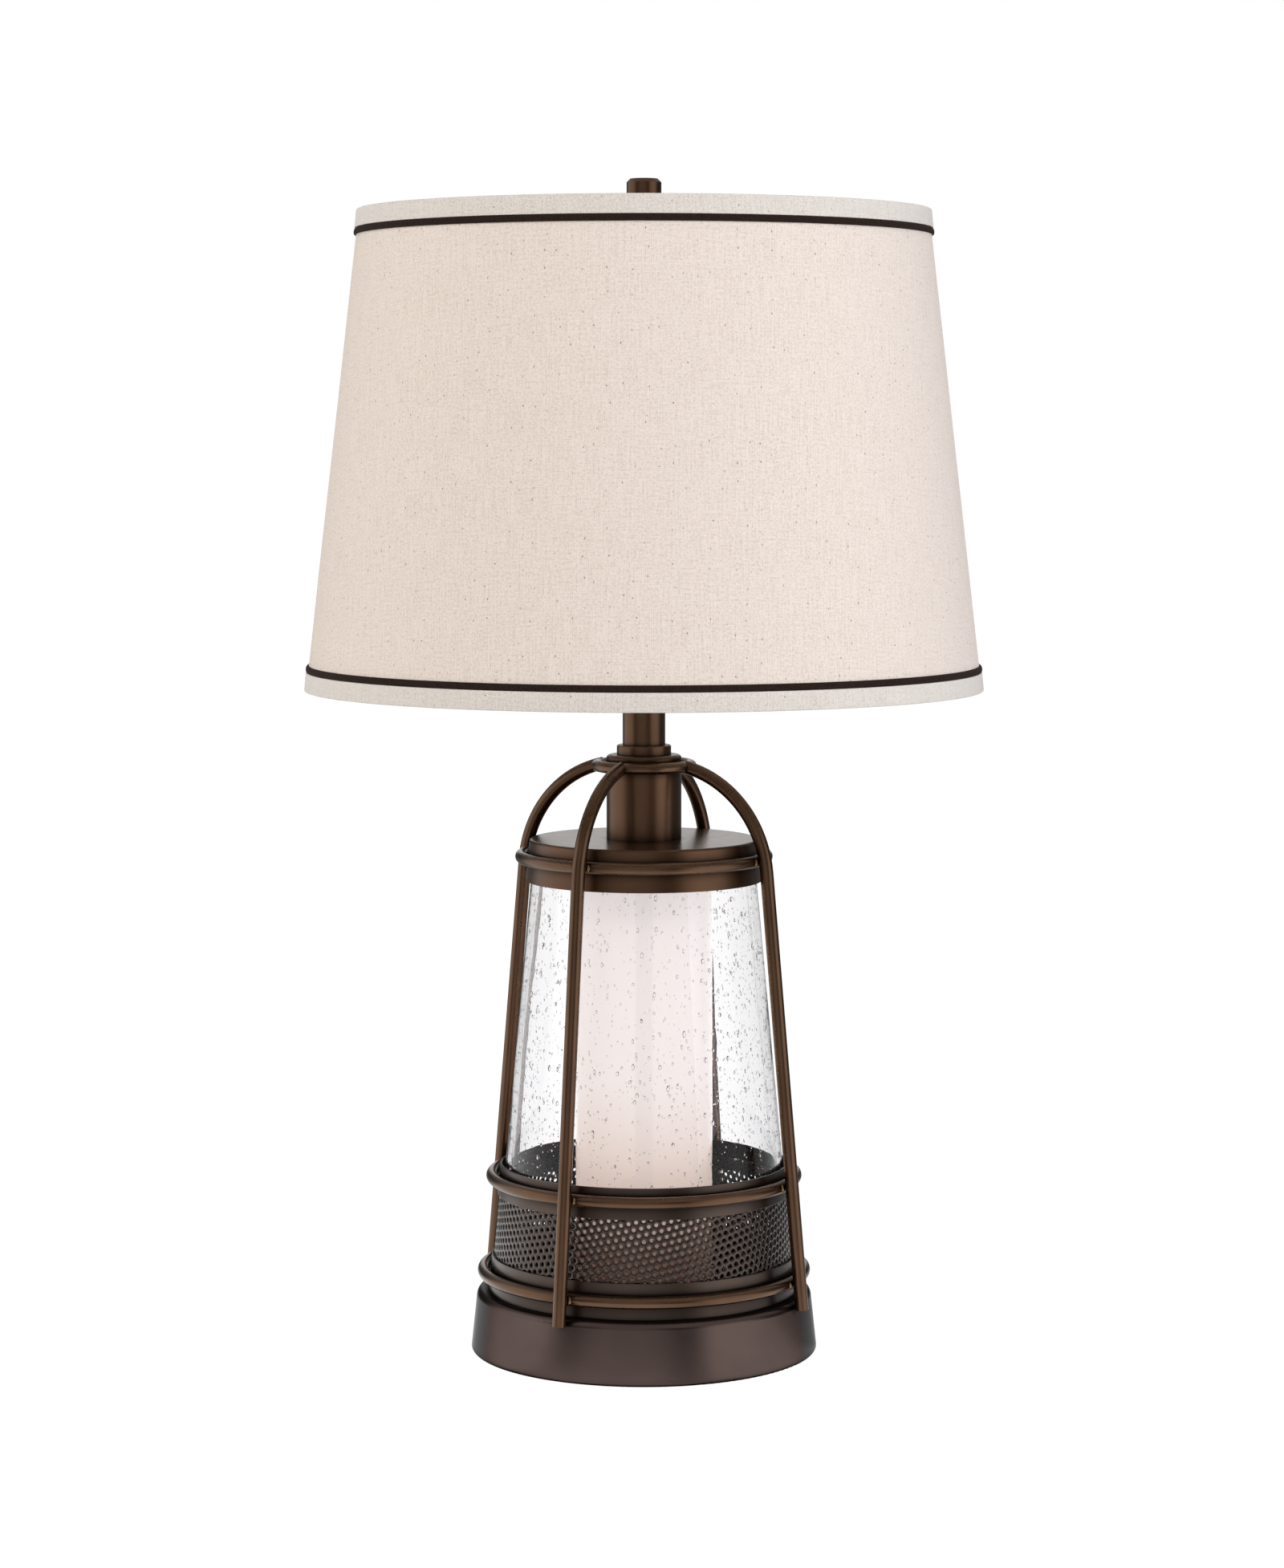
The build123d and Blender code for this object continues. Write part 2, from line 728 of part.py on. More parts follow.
with BuildPart() as socket_cap:
    with BuildSketch(Plane.XZ.shift_origin((0, 0, socket_bottom))):
        with BuildLine():
            Polyline(
                (pipe_radius + running_gap, 0),
                (socket_mouth_radius, 0),
                (socket_radius, socket_cone),
                (socket_radius, socket_cap_height),
                (socket_radius - socket_wall, socket_cap_height),
                (socket_radius - socket_wall, socket_cone + socket_wall),
                (socket_mouth_radius, 2 * socket_wall),
                (pipe_radius + running_gap, 2 * socket_wall),
                close=True,
            )
        make_face()
        with Locations((socket_radius, socket_cap_height - socket_bead_radius)):
            Circle(socket_bead_radius)
    revolve(axis=Axis.Z)
save(socket_cap, "socket_cap")

with BuildPart() as socket_shell:
    with BuildSketch(Plane.XZ.shift_origin((0, 0, shell_bottom))):
        with BuildLine():
            Polyline(
                (socket_radius - socket_wall, 0),
                (socket_radius, 0),
                (socket_radius, socket_shell_height - socket_lip_height),
                (socket_radius + socket_lip_flare, socket_shell_height),
                (socket_radius + socket_lip_flare - socket_wall, socket_shell_height),
                (socket_radius - socket_wall, socket_shell_height - socket_lip_height),
                close=True,
            )
        make_face()
    revolve(axis=Axis.Z)
    with BuildSketch(front_plane):
        Circle(shaft_radius + slip_gap)
    extrude(amount=2 * socket_radius, mode=Mode.SUBTRACT)
save(socket_shell, "socket_shell")

with BuildPart() as socket_body:
    with BuildSketch(Plane.XY.offset(body_bottom)):
        Circle(body_radius)
    extrude(amount=contact_z - body_bottom)
    with BuildSketch(front_plane.offset(body_radius - shaft_depth)):
        Circle(shaft_radius + running_gap)
    extrude(amount=2 * shaft_depth, mode=Mode.SUBTRACT)
save(socket_body, "socket_body")

with BuildPart() as socket_screw_shell:
    with BuildSketch(Plane.XY.offset(contact_z)):
        Circle(screw_bore + screw_shell_wall)
        Circle(screw_bore, mode=Mode.SUBTRACT)
    extrude(amount=shell_top - socket_lip_height - contact_z)
save(socket_screw_shell, "socket_screw_shell")

with BuildPart() as switch_shaft:
    with BuildSketch(front_plane.offset(body_radius - shaft_depth + running_gap)):
        Circle(shaft_radius)
    extrude(amount=shaft_depth - running_gap + socket_radius - body_radius + shaft_standout)
save(switch_shaft, "switch_shaft")

knob_bottom = socket_radius + knob_gap
with BuildPart() as switch_knob:
    with BuildSketch(front_plane.offset(knob_bottom)):
        Circle(knob_radius)
        with PolarLocations(knob_radius, knob_flutes):
            Circle(knob_flute_radius, mode=Mode.SUBTRACT)
    extrude(amount=knob_length)
    with BuildSketch(front_plane.offset(knob_bottom)):
        Circle(shaft_radius + weld_gap)
    extrude(amount=shaft_standout - knob_gap + weld_gap, mode=Mode.SUBTRACT)
save(switch_knob, "switch_knob")

with BuildPart() as main_bulb_cap:
    with BuildSketch(Plane.XY.offset(contact_z)):
        Circle(bulb_contact_radius)
    extrude(amount=bulb_contact_height)
    with BuildSketch(Plane.XY.offset(contact_z + bulb_contact_height)):
        Circle(bulb_cap_radius)
    extrude(amount=bulb_cap_height)
save(main_bulb_cap, "main_bulb_cap")

with BuildPart() as main_bulb:
    with BuildSketch(Plane.XZ):
        with BuildLine():
            bulb_outline(bulb_cap_radius, bulb_neck_length, bulb_radius, shell_top)
        make_face()
    revolve(axis=Axis.Z)
    with BuildSketch(Plane.XZ):
        with BuildLine():
            bulb_outline(bulb_cap_radius - bulb_wall, bulb_neck_length, bulb_radius - bulb_wall, shell_top)
        make_face()
    revolve(axis=Axis.Z, mode=Mode.SUBTRACT)
save(main_bulb, "main_bulb")

# Shade: a stiff panel on two wire rings, bound with hem tape and piping, on a three-armed spider
panel_top = shade_top - hem_thickness
panel_bottom = shade_bottom + hem_thickness
wire_z = shade_wire / 2 + weld_gap

with BuildPart() as shade_panel:
    with BuildSketch(Plane.XZ):
        with BuildLine():
            Polyline(*taper_outline(panel_radius, panel_thickness, panel_bottom, panel_top), close=True)
        make_face()
    revolve(axis=Axis.Z)
save(shade_panel, "shade_panel")

for end_name, edge_z, inward in (("top", panel_top, -1), ("bottom", panel_bottom, 1)):
    ring_z = edge_z + inward * wire_z
    ring_major = min(panel_radius(ring_z), panel_radius(edge_z)) - panel_thickness - wire_z
    hem_end = edge_z + inward * (hem_height - hem_thickness)
    hem_inner = ring_major - wire_z
    lip_end = edge_z + inward * hem_lip
    with BuildPart(Plane.XY.offset(ring_z)) as shade_ring:
        Torus(ring_major, shade_wire / 2)
    save(shade_ring, f"shade_{end_name}_wire")

    with BuildPart() as hem:
        with BuildSketch(Plane.XZ):
            with BuildLine():
                Polyline(
                    (panel_radius(hem_end) + weld_gap, hem_end),
                    (panel_radius(hem_end) + weld_gap + hem_thickness, hem_end),
                    (panel_radius(edge_z) + weld_gap + hem_thickness, edge_z - inward * hem_thickness),
                    (hem_inner - hem_thickness, edge_z - inward * hem_thickness),
                    (hem_inner - hem_thickness, lip_end),
                    (hem_inner, lip_end),
                    (hem_inner, edge_z),
                    (panel_radius(edge_z) + weld_gap, edge_z),
                    close=True,
                )
            make_face()
        revolve(axis=Axis.Z)
    save(hem, f"shade_{end_name}_hem")

    piping_z = hem_end + inward * (piping_height / 2 + weld_gap)
    piping_radius = panel_radius(piping_z) + piping_thickness / 2 + 2 * weld_gap
    with BuildPart() as piping:
        with BuildSketch(Plane.XZ):
            with Locations((piping_radius, piping_z)):
                Ellipse(piping_thickness / 2, piping_height / 2)
        revolve(axis=Axis.Z)
    save(piping, f"shade_{end_name}_piping")

spider_mid = rest_top + spider_washer_thickness / 2
arm_radius = shade_wire / 2
arm_z = panel_top - 2 * wire_z - arm_radius
arm_end = panel_radius(arm_z) - panel_thickness - 2 * weld_gap
ramp_start = spider_washer_radius + spider_run
spider_plane = Plane(origin=(0, 0, 0), x_dir=(1, 0, 0), z_dir=(0, -1, 0))

with BuildPart() as shade_spider:
    with BuildLine(spider_plane):
        FilletPolyline(
            (spider_washer_radius - arm_radius, spider_mid),
            (ramp_start, spider_mid),
            (ramp_start + spider_ramp, arm_z),
            (arm_end, arm_z),
            radius=spider_bend_radius,
        )
    with BuildSketch(Plane.YZ.offset(spider_washer_radius - arm_radius)):
        with Locations((0, spider_mid)):
            Circle(arm_radius)
    arm = sweep(mode=Mode.PRIVATE)
    with PolarLocations(0, spider_arms, start_angle=90):
        add(arm)
    with BuildSketch(Plane.XY.offset(rest_top)):
        Circle(spider_washer_radius)
    extrude(amount=spider_washer_thickness)
    with Locations((0, 0, rest_top)):
        Cylinder(stud_radius + slip_gap, 4 * spider_washer_thickness, mode=Mode.SUBTRACT)
save(shade_spider, "shade_spider")

with BuildPart() as finial:
    with BuildSketch(Plane.XY.offset(spider_washer_top)):
        Circle(finial_radius)
    extrude(amount=finial_height)
    chamfer(finial.edges().sort_by(Axis.Z)[-1], finial_chamfer)
    with BuildSketch(Plane.XY.offset(spider_washer_top)):
        Circle(stud_radius + running_gap)
    extrude(amount=stud_length - spider_washer_thickness + finial_bore_spare, mode=Mode.SUBTRACT)
save(finial, "finial")
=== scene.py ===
import json
import random
from math import atan2, ceil, cos, hypot, pi, radians, sin, sqrt, tan

import bmesh
import bpy
from mathutils import Matrix, Vector, noise


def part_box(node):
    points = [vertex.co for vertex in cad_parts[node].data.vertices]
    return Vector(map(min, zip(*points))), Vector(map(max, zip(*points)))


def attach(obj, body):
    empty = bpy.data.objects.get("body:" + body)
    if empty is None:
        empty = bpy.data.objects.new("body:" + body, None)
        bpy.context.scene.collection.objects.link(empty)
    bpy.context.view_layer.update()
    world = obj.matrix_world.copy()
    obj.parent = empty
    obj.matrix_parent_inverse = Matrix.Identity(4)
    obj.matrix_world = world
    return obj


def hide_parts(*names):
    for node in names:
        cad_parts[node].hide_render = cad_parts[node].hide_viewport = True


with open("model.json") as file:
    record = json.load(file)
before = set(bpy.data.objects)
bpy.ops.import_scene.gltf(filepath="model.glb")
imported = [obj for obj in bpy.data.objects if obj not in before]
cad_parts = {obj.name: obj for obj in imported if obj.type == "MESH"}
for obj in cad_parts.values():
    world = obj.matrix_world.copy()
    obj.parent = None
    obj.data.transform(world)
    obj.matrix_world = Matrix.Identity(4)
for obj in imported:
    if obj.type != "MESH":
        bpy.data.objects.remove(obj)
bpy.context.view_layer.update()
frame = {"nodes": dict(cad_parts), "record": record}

# Table lamp: caged glass lantern under a linen shade. Metres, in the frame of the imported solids.

upward = Vector((0, 0, 1))

# Lantern, in sizes that the solids' boxes don't give
lantern_taper = radians(5.3)
fit_gap = 0.0001
collar_wall = 0.0011
band_gap = 0.0009
band_thickness = 0.0008
felt_bore = 0.001
felt_rounding = 0.0005

# Lantern glass, and the bubbles in it by half width
glass_wall = 0.003
glass_wave = 0.0001
glass_wave_rim = 0.01
glass_waves_round = 2.6
glass_waves_up = 22
glass_inner_shift = 9.0
glass_rows = 48
glass_segments = 160
bubble_count = 5800
bubble_seed = 41
bubble_usual = 0.00036
bubble_spread = 0.42
bubble_most = 0.001
bubble_fine = 0.00058
bubble_skin = 0.0002
bubble_margin = 0.004
bubble_stretch = (1.1, 2.1)
bubble_tail = 0.35

# Perforated sheet: steps of its triangular grid that lead once round the band, and its holes
grid_along = 133
grid_across = -29
grid_spare_rows = 34
grid_cell_share = 0.55
grid_seam_slack = 1e-9
hole_radius = 0.00112
hole_corners = 12
hole_border = 1.3
merge_distance = 1e-6

# Cage
ring_gap = 0.0003
ring_wire = 0.007
leg_rod = 0.0075
leg_angles = (45, 135, 225, 315)
ring_nodes = ("lower_ring", "middle_ring", "upper_ring")
weld_size = (0.0015, 0.0012, 0.0021)
weld_sink = 0.0004
weld_lumps = 0.22
weld_lump_scale = 700
weld_seed_step = 3.7

# Shade
panel_thickness = 0.0012
panel_segments = 360
panel_rows = 48
panel_wave = 0.00018
panel_waves_round = 4
panel_waves_up = 12
panel_rim = 0.012
panel_rim_ease = 0.02
lap_rise = 0.0004
lap_half_angle = 0.04
hem_thickness = 0.0012
hem_lip = 0.003
hem_fold_share = 0.7
hem_edge = 0.0002
hem_free_edge = 0.0003
shade_wire = 0.003
welt_steps = 12
welt_fullness = 0.6
welt_back_ease = 0.00002

# Camera, in the photograph's own frame
picture_width = 1600
picture_height = 1954
focal_pixels = 4823.4
camera_azimuth = radians(-17.1)
camera_distance = 2.17146
camera_height = 0.51993
camera_pitch = radians(5.198)
camera_offset = 0.0011
sensor = 36.0
ahead = Vector((-sin(camera_azimuth), cos(camera_azimuth), 0.0))
left = Vector((-cos(camera_azimuth), -sin(camera_azimuth), 0.0))

# Studio
lamp_aim = 0.35
floor_reach = 9.0
floor_white = 0.97
floor_paper = 0.8
floor_shadow = 0.15
ambient_strength = 0.4

# Surroundings in gloss and through glass: a direction, the level away from it and towards it, and
# the cosines between which the one turns into the other
back_left = (left + ahead * 0.08).normalized()
front_right = (-left * 1.95 - ahead).normalized()
front = (left * 0.2 - ahead).normalized()
behind = (ahead + upward * 0.12).normalized()
glass_view = (ahead, 0.33, 1.0, 0.5, 0.96)
gloss_panels = (
    (back_left, 0.05, 1.0, 0.68, 0.95),
    (front_right, 0.0, 1.0, 0.84, 0.98),
    (front, 0.0, 0.4, 0.8, 0.99),
    (behind, 0.0, 0.88, 0.96, 0.992),
    (upward, 0.0, 0.4, 0.2, 0.6),
)
floor_glow = 0.55
floor_glow_near = 0.15
floor_glow_far = 0.7

# Bronze: how far the painted crevice shade, partly patina, reaches, the openness from dark to
# unshaded, and the tone left in them
crevice_reach = 0.007
crevice_open = (0.35, 0.88)
shade_and_patina_share = 0.12

# Heights and radii read from the solids
glass_low, glass_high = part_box("seedy_glass")
tube_low, tube_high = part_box("inner_tube")
bulb_low, bulb_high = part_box("main_bulb")
band_low, band_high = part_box("perforated_band")
panel_low, panel_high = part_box("shade_panel")
top_hem_low, top_hem_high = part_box("shade_top_hem")
slope = tan(lantern_taper)
slant = cos(lantern_taper)
hem_standoff = fit_gap + hem_thickness
shade_slope = (panel_high.x + hem_standoff - top_hem_high.x) / (top_hem_low.z - panel_low.z)
shade_taper = atan2(shade_slope, 1.0)


def glass_radius(height):
    """Outer radius of the lantern glass at a height."""
    return glass_high.x - (height - glass_low.z) * slope


def band_radius(height):
    """Outer radius of the perforated band at a height."""
    return glass_radius(height) + band_gap + band_thickness


def ring_radius(height):
    """Radius of the middle of a ring's bar, which lies round the collars and the cap's skirt."""
    return band_radius(height) + fit_gap + collar_wall + (ring_gap + ring_wire / 2) / slant


def panel_radius(height):
    """Outer radius of the shade's panel at a height."""
    return panel_high.x - shade_slope * (height - panel_low.z)


def grey(level):
    """Opaque grey of one level."""
    return (level, level, level, 1.0)


class Nodes:
    """A node tree, with short ways to add to it."""

    def __init__(self, tree):
        self.tree = tree

    def fill(self, socket, value):
        """Links an output to a socket, or sets the socket to a plain value."""
        if isinstance(value, bpy.types.NodeSocket):
            self.tree.links.new(value, socket)
        else:
            socket.default_value = value

    def node(self, kind, inputs=None, **settings):
        """Adds a node with its settings, and fills its inputs."""
        made = self.tree.nodes.new(kind)
        for key, value in settings.items():
            setattr(made, key, value)
        for key, value in (inputs or {}).items():
            self.fill(made.inputs[key], value)
        return made

    def span(self, value, low, high, start=0.0, end=1.0, **settings):
        """Maps a value from one range to another."""
        values = {
            "Value": value, "From Min": start, "From Max": end, "To Min": low, "To Max": high
        }
        return self.node("ShaderNodeMapRange", values, **settings).outputs["Result"]

    def math(self, operation, first, second, **settings):
        """One sum on two values."""
        values = {0: first, 1: second}
        made = self.node("ShaderNodeMath", values, operation=operation, **settings)
        return made.outputs["Value"]


class Look(Nodes):
    """A node material round one Principled shader."""

    def __init__(self, name, **values):
        self.material = bpy.data.materials.new(name)
        self.material.use_nodes = True
        super().__init__(self.material.node_tree)
        self.shader = self.tree.nodes["Principled BSDF"]
        for key, value in values.items():
            self.set(key.replace("_", " ").title().replace("Ior", "IOR"), value)

    def set(self, socket, value):
        """Fills one of the shader's sockets."""
        self.fill(self.shader.inputs[socket], value)

    def place(self, scale=(1, 1, 1), turn=0.0, uv=None):
        """Coordinates on the object, or on one of its flat maps, scaled and turned."""
        if uv:
            source = self.node("ShaderNodeUVMap", uv_map=uv).outputs["UV"]
        else:
            source = self.node("ShaderNodeTexCoord").outputs["Object"]
        values = {"Vector": source, "Scale": scale, "Rotation": (0, 0, turn)}
        return self.node("ShaderNodeMapping", values).outputs["Vector"]

    def noise(self, where, scale=1.0, detail=3.0, rough=0.5):
        """Grey noise."""
        values = {"Vector": where, "Scale": scale, "Detail": detail, "Roughness": rough}
        return self.node("ShaderNodeTexNoise", values).outputs["Fac"]

    def ramp(self, value, *stops):
        """Colour ramp over a value; each stop is a place and a colour."""
        made = self.node("ShaderNodeValToRGB", {"Fac": value})
        steps = made.color_ramp.elements
        while len(steps) < len(stops):
            steps.new(1.0)
        for step, (at, colour) in zip(steps, stops):
            step.position = at
            step.color = (*colour, 1.0)
        return made.outputs["Color"]

    def weigh(self, first, share, second, other):
        """Sum of two values, each times its own weight."""
        return self.math(
            "ADD", self.math("MULTIPLY", first, share), self.math("MULTIPLY", second, other)
        )

    def blend(self, share, first, second):
        """Mixes two colours by a share."""
        first, second = (
            colour if isinstance(colour, bpy.types.NodeSocket) else (*colour, 1.0)
            for colour in (first, second)
        )
        made = self.node("ShaderNodeMix", {0: share, 6: first, 7: second}, data_type="RGBA")
        return made.outputs[2]

    def bump(self, height, distance, strength):
        """Small relief from a height."""
        values = {"Height": height, "Distance": distance, "Strength": strength}
        self.set("Normal", self.node("ShaderNodeBump", values).outputs["Normal"])


def bronze_look(name, dark, warm, rough, lacquer, metal=0.95, rim=1.0):
    """Oil-rubbed bronze under satin lacquer: warmer where rubbed, painted nearly black in crevices,
    partly as patina and partly as painted shade.
    """
    look = Look(name, metallic=metal, coat_roughness=0.22, specular_tint=grey(rim))
    where = look.place()
    cloud = look.noise(where, scale=38.0, detail=2.0, rough=0.5)
    grain = look.noise(where, scale=900.0, detail=2.0, rough=0.6)
    # Ambient occlusion paints shade into crevices: the colour darkens there towards a dark tone that
    # is partly patina and partly painted shade
    opening = look.node("ShaderNodeAmbientOcclusion", {"Distance": crevice_reach}, samples=16)
    unshaded_share = look.span(opening.outputs["AO"], 0.0, 1.0, *crevice_open)
    shade_and_patina_tone = tuple(part * shade_and_patina_share for part in dark)
    look.set("Base Color", look.blend(unshaded_share, shade_and_patina_tone, look.ramp(cloud, (0.25, dark), (0.8, warm))))
    wear = look.noise(where, scale=120.0)
    look.set("Roughness", look.span(wear, rough - 0.04, rough + 0.05))
    # The lacquer's shine is taken out in crevices as well, as painted shade
    if lacquer:
        look.set("Coat Weight", look.math("MULTIPLY", unshaded_share, lacquer))
    look.bump(grain, distance=0.00004, strength=0.4)
    return look.material


def metal_look(name, dark, bright, rough, stretch):
    """Plain plated metal with fine drawn lines."""
    look = Look(name, metallic=1.0)
    lines = look.noise(look.place(stretch))
    look.set("Base Color", look.ramp(lines, (0.3, dark), (0.7, bright)))
    look.set("Roughness", look.span(lines, rough, rough + 0.12))
    look.bump(lines, distance=0.00003, strength=0.5)
    return look.material


def casting_look():
    """Raw grey iron casting."""
    look = Look("iron_casting", metallic=0.7)
    pits = look.noise(look.place(), scale=420.0, detail=5.0, rough=0.65)
    tone = look.ramp(pits, (0.3, (0.03, 0.03, 0.03)), (0.75, (0.12, 0.115, 0.11)))
    look.set("Base Color", tone)
    look.set("Roughness", look.span(pits, 0.55, 0.8))
    look.bump(pits, distance=0.0004, strength=0.8)
    return look.material


def plastic_look():
    """Black moulded plastic with a fine spark texture."""
    look = Look("moulded_plastic")
    where = look.place()
    spark = look.noise(where, scale=1600.0, detail=2.0)
    tone = look.ramp(spark, (0.3, (0.012, 0.012, 0.013)), (0.7, (0.022, 0.022, 0.023)))
    look.set("Base Color", tone)
    look.set("Roughness", look.span(look.noise(where, scale=150.0), 0.36, 0.5))
    look.bump(spark, distance=0.00005, strength=0.5)
    return look.material


def felt_look():
    """Black pressed felt."""
    look = Look("pressed_felt", roughness=0.95, sheen_weight=0.25, sheen_roughness=0.6)
    fibres = look.noise(look.place(), scale=700.0, detail=6.0, rough=0.7)
    tone = look.ramp(fibres, (0.3, (0.012, 0.012, 0.012)), (0.75, (0.05, 0.048, 0.046)))
    look.set("Base Color", tone)
    look.bump(fibres, distance=0.0005, strength=0.8)
    return look.material


def let_light_through(look, tint):
    """Lets lamps shine through a glass, tinted, where its shader would cast a black shadow."""
    path = look.node("ShaderNodeLightPath")
    lit = look.math("MAXIMUM", path.outputs["Is Shadow Ray"], path.outputs["Is Diffuse Ray"])
    clear = look.node("ShaderNodeBsdfTransparent", {"Color": tint})
    shaders = {0: lit, 1: look.shader.outputs[0], 2: clear.outputs[0]}
    mix = look.node("ShaderNodeMixShader", shaders)
    output = look.tree.nodes["Material Output"]
    look.fill(output.inputs["Surface"], mix.outputs[0])


def glass_look(name, ior):
    """Clear glass with slow waves; lamps shine through it."""
    look = Look(name, transmission_weight=1.0, ior=ior, specular_tint=grey(0.4))
    waves = look.noise(look.place((1, 1, 0.45)), scale=55.0, detail=2.0, rough=0.45)
    tone = look.ramp(waves, (0.0, (0.98, 0.975, 0.984)), (1.0, (1.0, 0.995, 1.0)))
    look.set("Base Color", tone)
    look.set("Roughness", look.span(waves, 0.0, 0.015))
    look.bump(waves, distance=0.0004, strength=0.25)
    let_light_through(look, grey(0.96))
    return look.material


def opal_look(name, white, painted_warm_foot, low, high, painted_glow):
    """Opal white glass with painted glow: emission and a warmer foot colour stand in for a small
    lamp's light rising from its foot, with painted shade at the very foot.
    """
    look = Look(
        name,
        roughness=0.07,
        transmission_weight=0.42,
        ior=1.45,
        specular_ior_level=0.03,
        emission_strength=painted_glow,
    )
    where = look.node("ShaderNodeTexCoord").outputs["Object"]
    height = look.node("ShaderNodeSeparateXYZ", {0: where}).outputs["Z"]
    rise = look.span(height, 0.0, 1.0, low, high)
    milk = look.noise(look.place((1, 1, 0.3)), scale=60.0)
    # The lowest part is painted darker: painted shade at the very foot
    shaded = tuple(part * 0.35 for part in painted_warm_foot)
    tone = look.ramp(rise, (0.0, shaded), (0.22, painted_warm_foot), (0.45, white), (1.0, white))
    look.set("Base Color", look.blend(look.span(milk, 0.0, 0.25), tone, painted_warm_foot))
    # Painted glow: emission rising from dim at the foot to warm white stands in for lamp light; the
    # glass itself is no lamp
    warm = look.ramp(
        rise,
        (0.0, (0.12, 0.05, 0.03)),
        (0.08, (0.2, 0.095, 0.055)),
        (0.2, (0.7, 0.54, 0.45)),
        (0.3, (0.88, 0.74, 0.67)),
        (0.48, (0.95, 0.88, 0.86)),
        (1.0, (0.93, 0.88, 0.87)),
    )
    look.set("Emission Color", warm)
    let_light_through(look, (0.62, 0.56, 0.52, 1.0))
    return look.material


def flecked(look, cloth, turn, scale, share, size, dark):
    """Cloth colour with small brown flecks in a share of the cells of a flat pattern."""
    cells = look.node(
        "ShaderNodeTexVoronoi",
        {"Vector": look.place(scale, turn, "cloth"), "Scale": 1.0, "Randomness": 1.0},
        voronoi_dimensions="2D",
    )
    spot = look.span(cells.outputs["Distance"], dark, 0.0, 0.022 * size, 0.06 * size)
    chance = look.node("ShaderNodeSeparateColor", {0: cells.outputs["Color"]})
    some = look.math("LESS_THAN", chance.outputs["Red"], share)
    weight = look.span(chance.outputs["Green"], 0.25, 1.0)
    fleck = look.math("MULTIPLY", look.math("MULTIPLY", spot, some), weight)
    return look.blend(fleck, cloth, (0.14, 0.09, 0.062))


def weave_look(name, pale, deep, pitch, turn, fleck_share, sheen):
    """Plain-woven linen: warp and weft threads, slubs, fibre grain and small dark flecks."""
    look = Look(
        name, roughness=0.92, sheen_weight=sheen, sheen_roughness=0.5, specular_ior_level=0.2
    )
    flat = look.place(turn=turn, uv="cloth")
    waves_per_scale = 20
    thread = {
        "Scale": 2 * pi / pitch / waves_per_scale,
        "Distortion": 1.6,
        "Detail": 2.0,
        "Detail Scale": 1.5,
        "Vector": flat,
    }
    warp = look.node("ShaderNodeTexWave", thread, bands_direction="X")
    weft = look.node("ShaderNodeTexWave", thread, bands_direction="Y")
    raised = look.math("MAXIMUM", warp.outputs["Fac"], weft.outputs["Fac"])
    warp_slub = look.noise(look.place((1100, 45, 1), turn, "cloth"), rough=0.6)
    weft_slub = look.noise(look.place((70, 1000, 1), turn, "cloth"), rough=0.6)
    grain = look.noise(flat, scale=750.0, detail=4.0, rough=0.7)
    slubs = look.weigh(warp_slub, 0.6, weft_slub, 0.4)
    fibres = look.weigh(slubs, 0.42, grain, 0.58)
    tone = look.weigh(raised, 0.12, fibres, 0.88)
    cloth = look.ramp(tone, (0.455, deep), (0.558, pale))
    cloth = flecked(look, cloth, turn, scale=(150, 100, 1), share=fleck_share, size=1.2, dark=0.85)
    cloth = flecked(look, cloth, turn, scale=(340, 240, 1), share=0.5, size=1.5, dark=0.5)
    look.set("Base Color", cloth)
    relief = look.math("ADD", raised, look.math("MULTIPLY", fibres, 1.2))
    look.bump(relief, distance=0.0002, strength=0.55)
    return look.material


def piping_look():
    """Dark brown cord cover with a fine cross rib."""
    look = Look("dark_piping", roughness=0.9, sheen_weight=0.02, specular_ior_level=0.12)
    rib = look.noise(look.place((1500, 500, 1), radians(35), "cloth"), rough=0.6)
    tone = look.ramp(rib, (0.3, (0.01, 0.0058, 0.0046)), (0.72, (0.033, 0.0185, 0.014)))
    look.set("Base Color", tone)
    look.bump(rib, distance=0.00025, strength=0.7)
    return look.material


def lining_look():
    """Warm white styrene lining of the shade."""
    look = Look("shade_lining", roughness=0.45)
    where = look.place((1, 1, 0.2))
    haze = look.noise(where, scale=30.0, detail=4.0)
    look.set("Base Color", look.ramp(haze, (0.3, (0.8, 0.77, 0.72)), (0.7, (0.87, 0.84, 0.8))))
    look.bump(look.noise(where, scale=700.0), distance=0.0001, strength=0.4)
    return look.material


def smoothed(mesh, sharp=35):
    """Smooth shading, with edges over an angle in degrees kept crisp."""
    mesh.shade_smooth()
    mesh.set_sharp_from_angle(angle=radians(sharp))
    return mesh


def piece(name, mesh, materials, body, stands_for=()):
    """Places a mesh in the scene as a piece of the lamp."""
    made = bpy.data.objects.new(name, mesh)
    bpy.context.collection.objects.link(made)
    for material in materials:
        mesh.materials.append(material)
    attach(made, body)
    if stands_for:
        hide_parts(*stands_for)
    return made


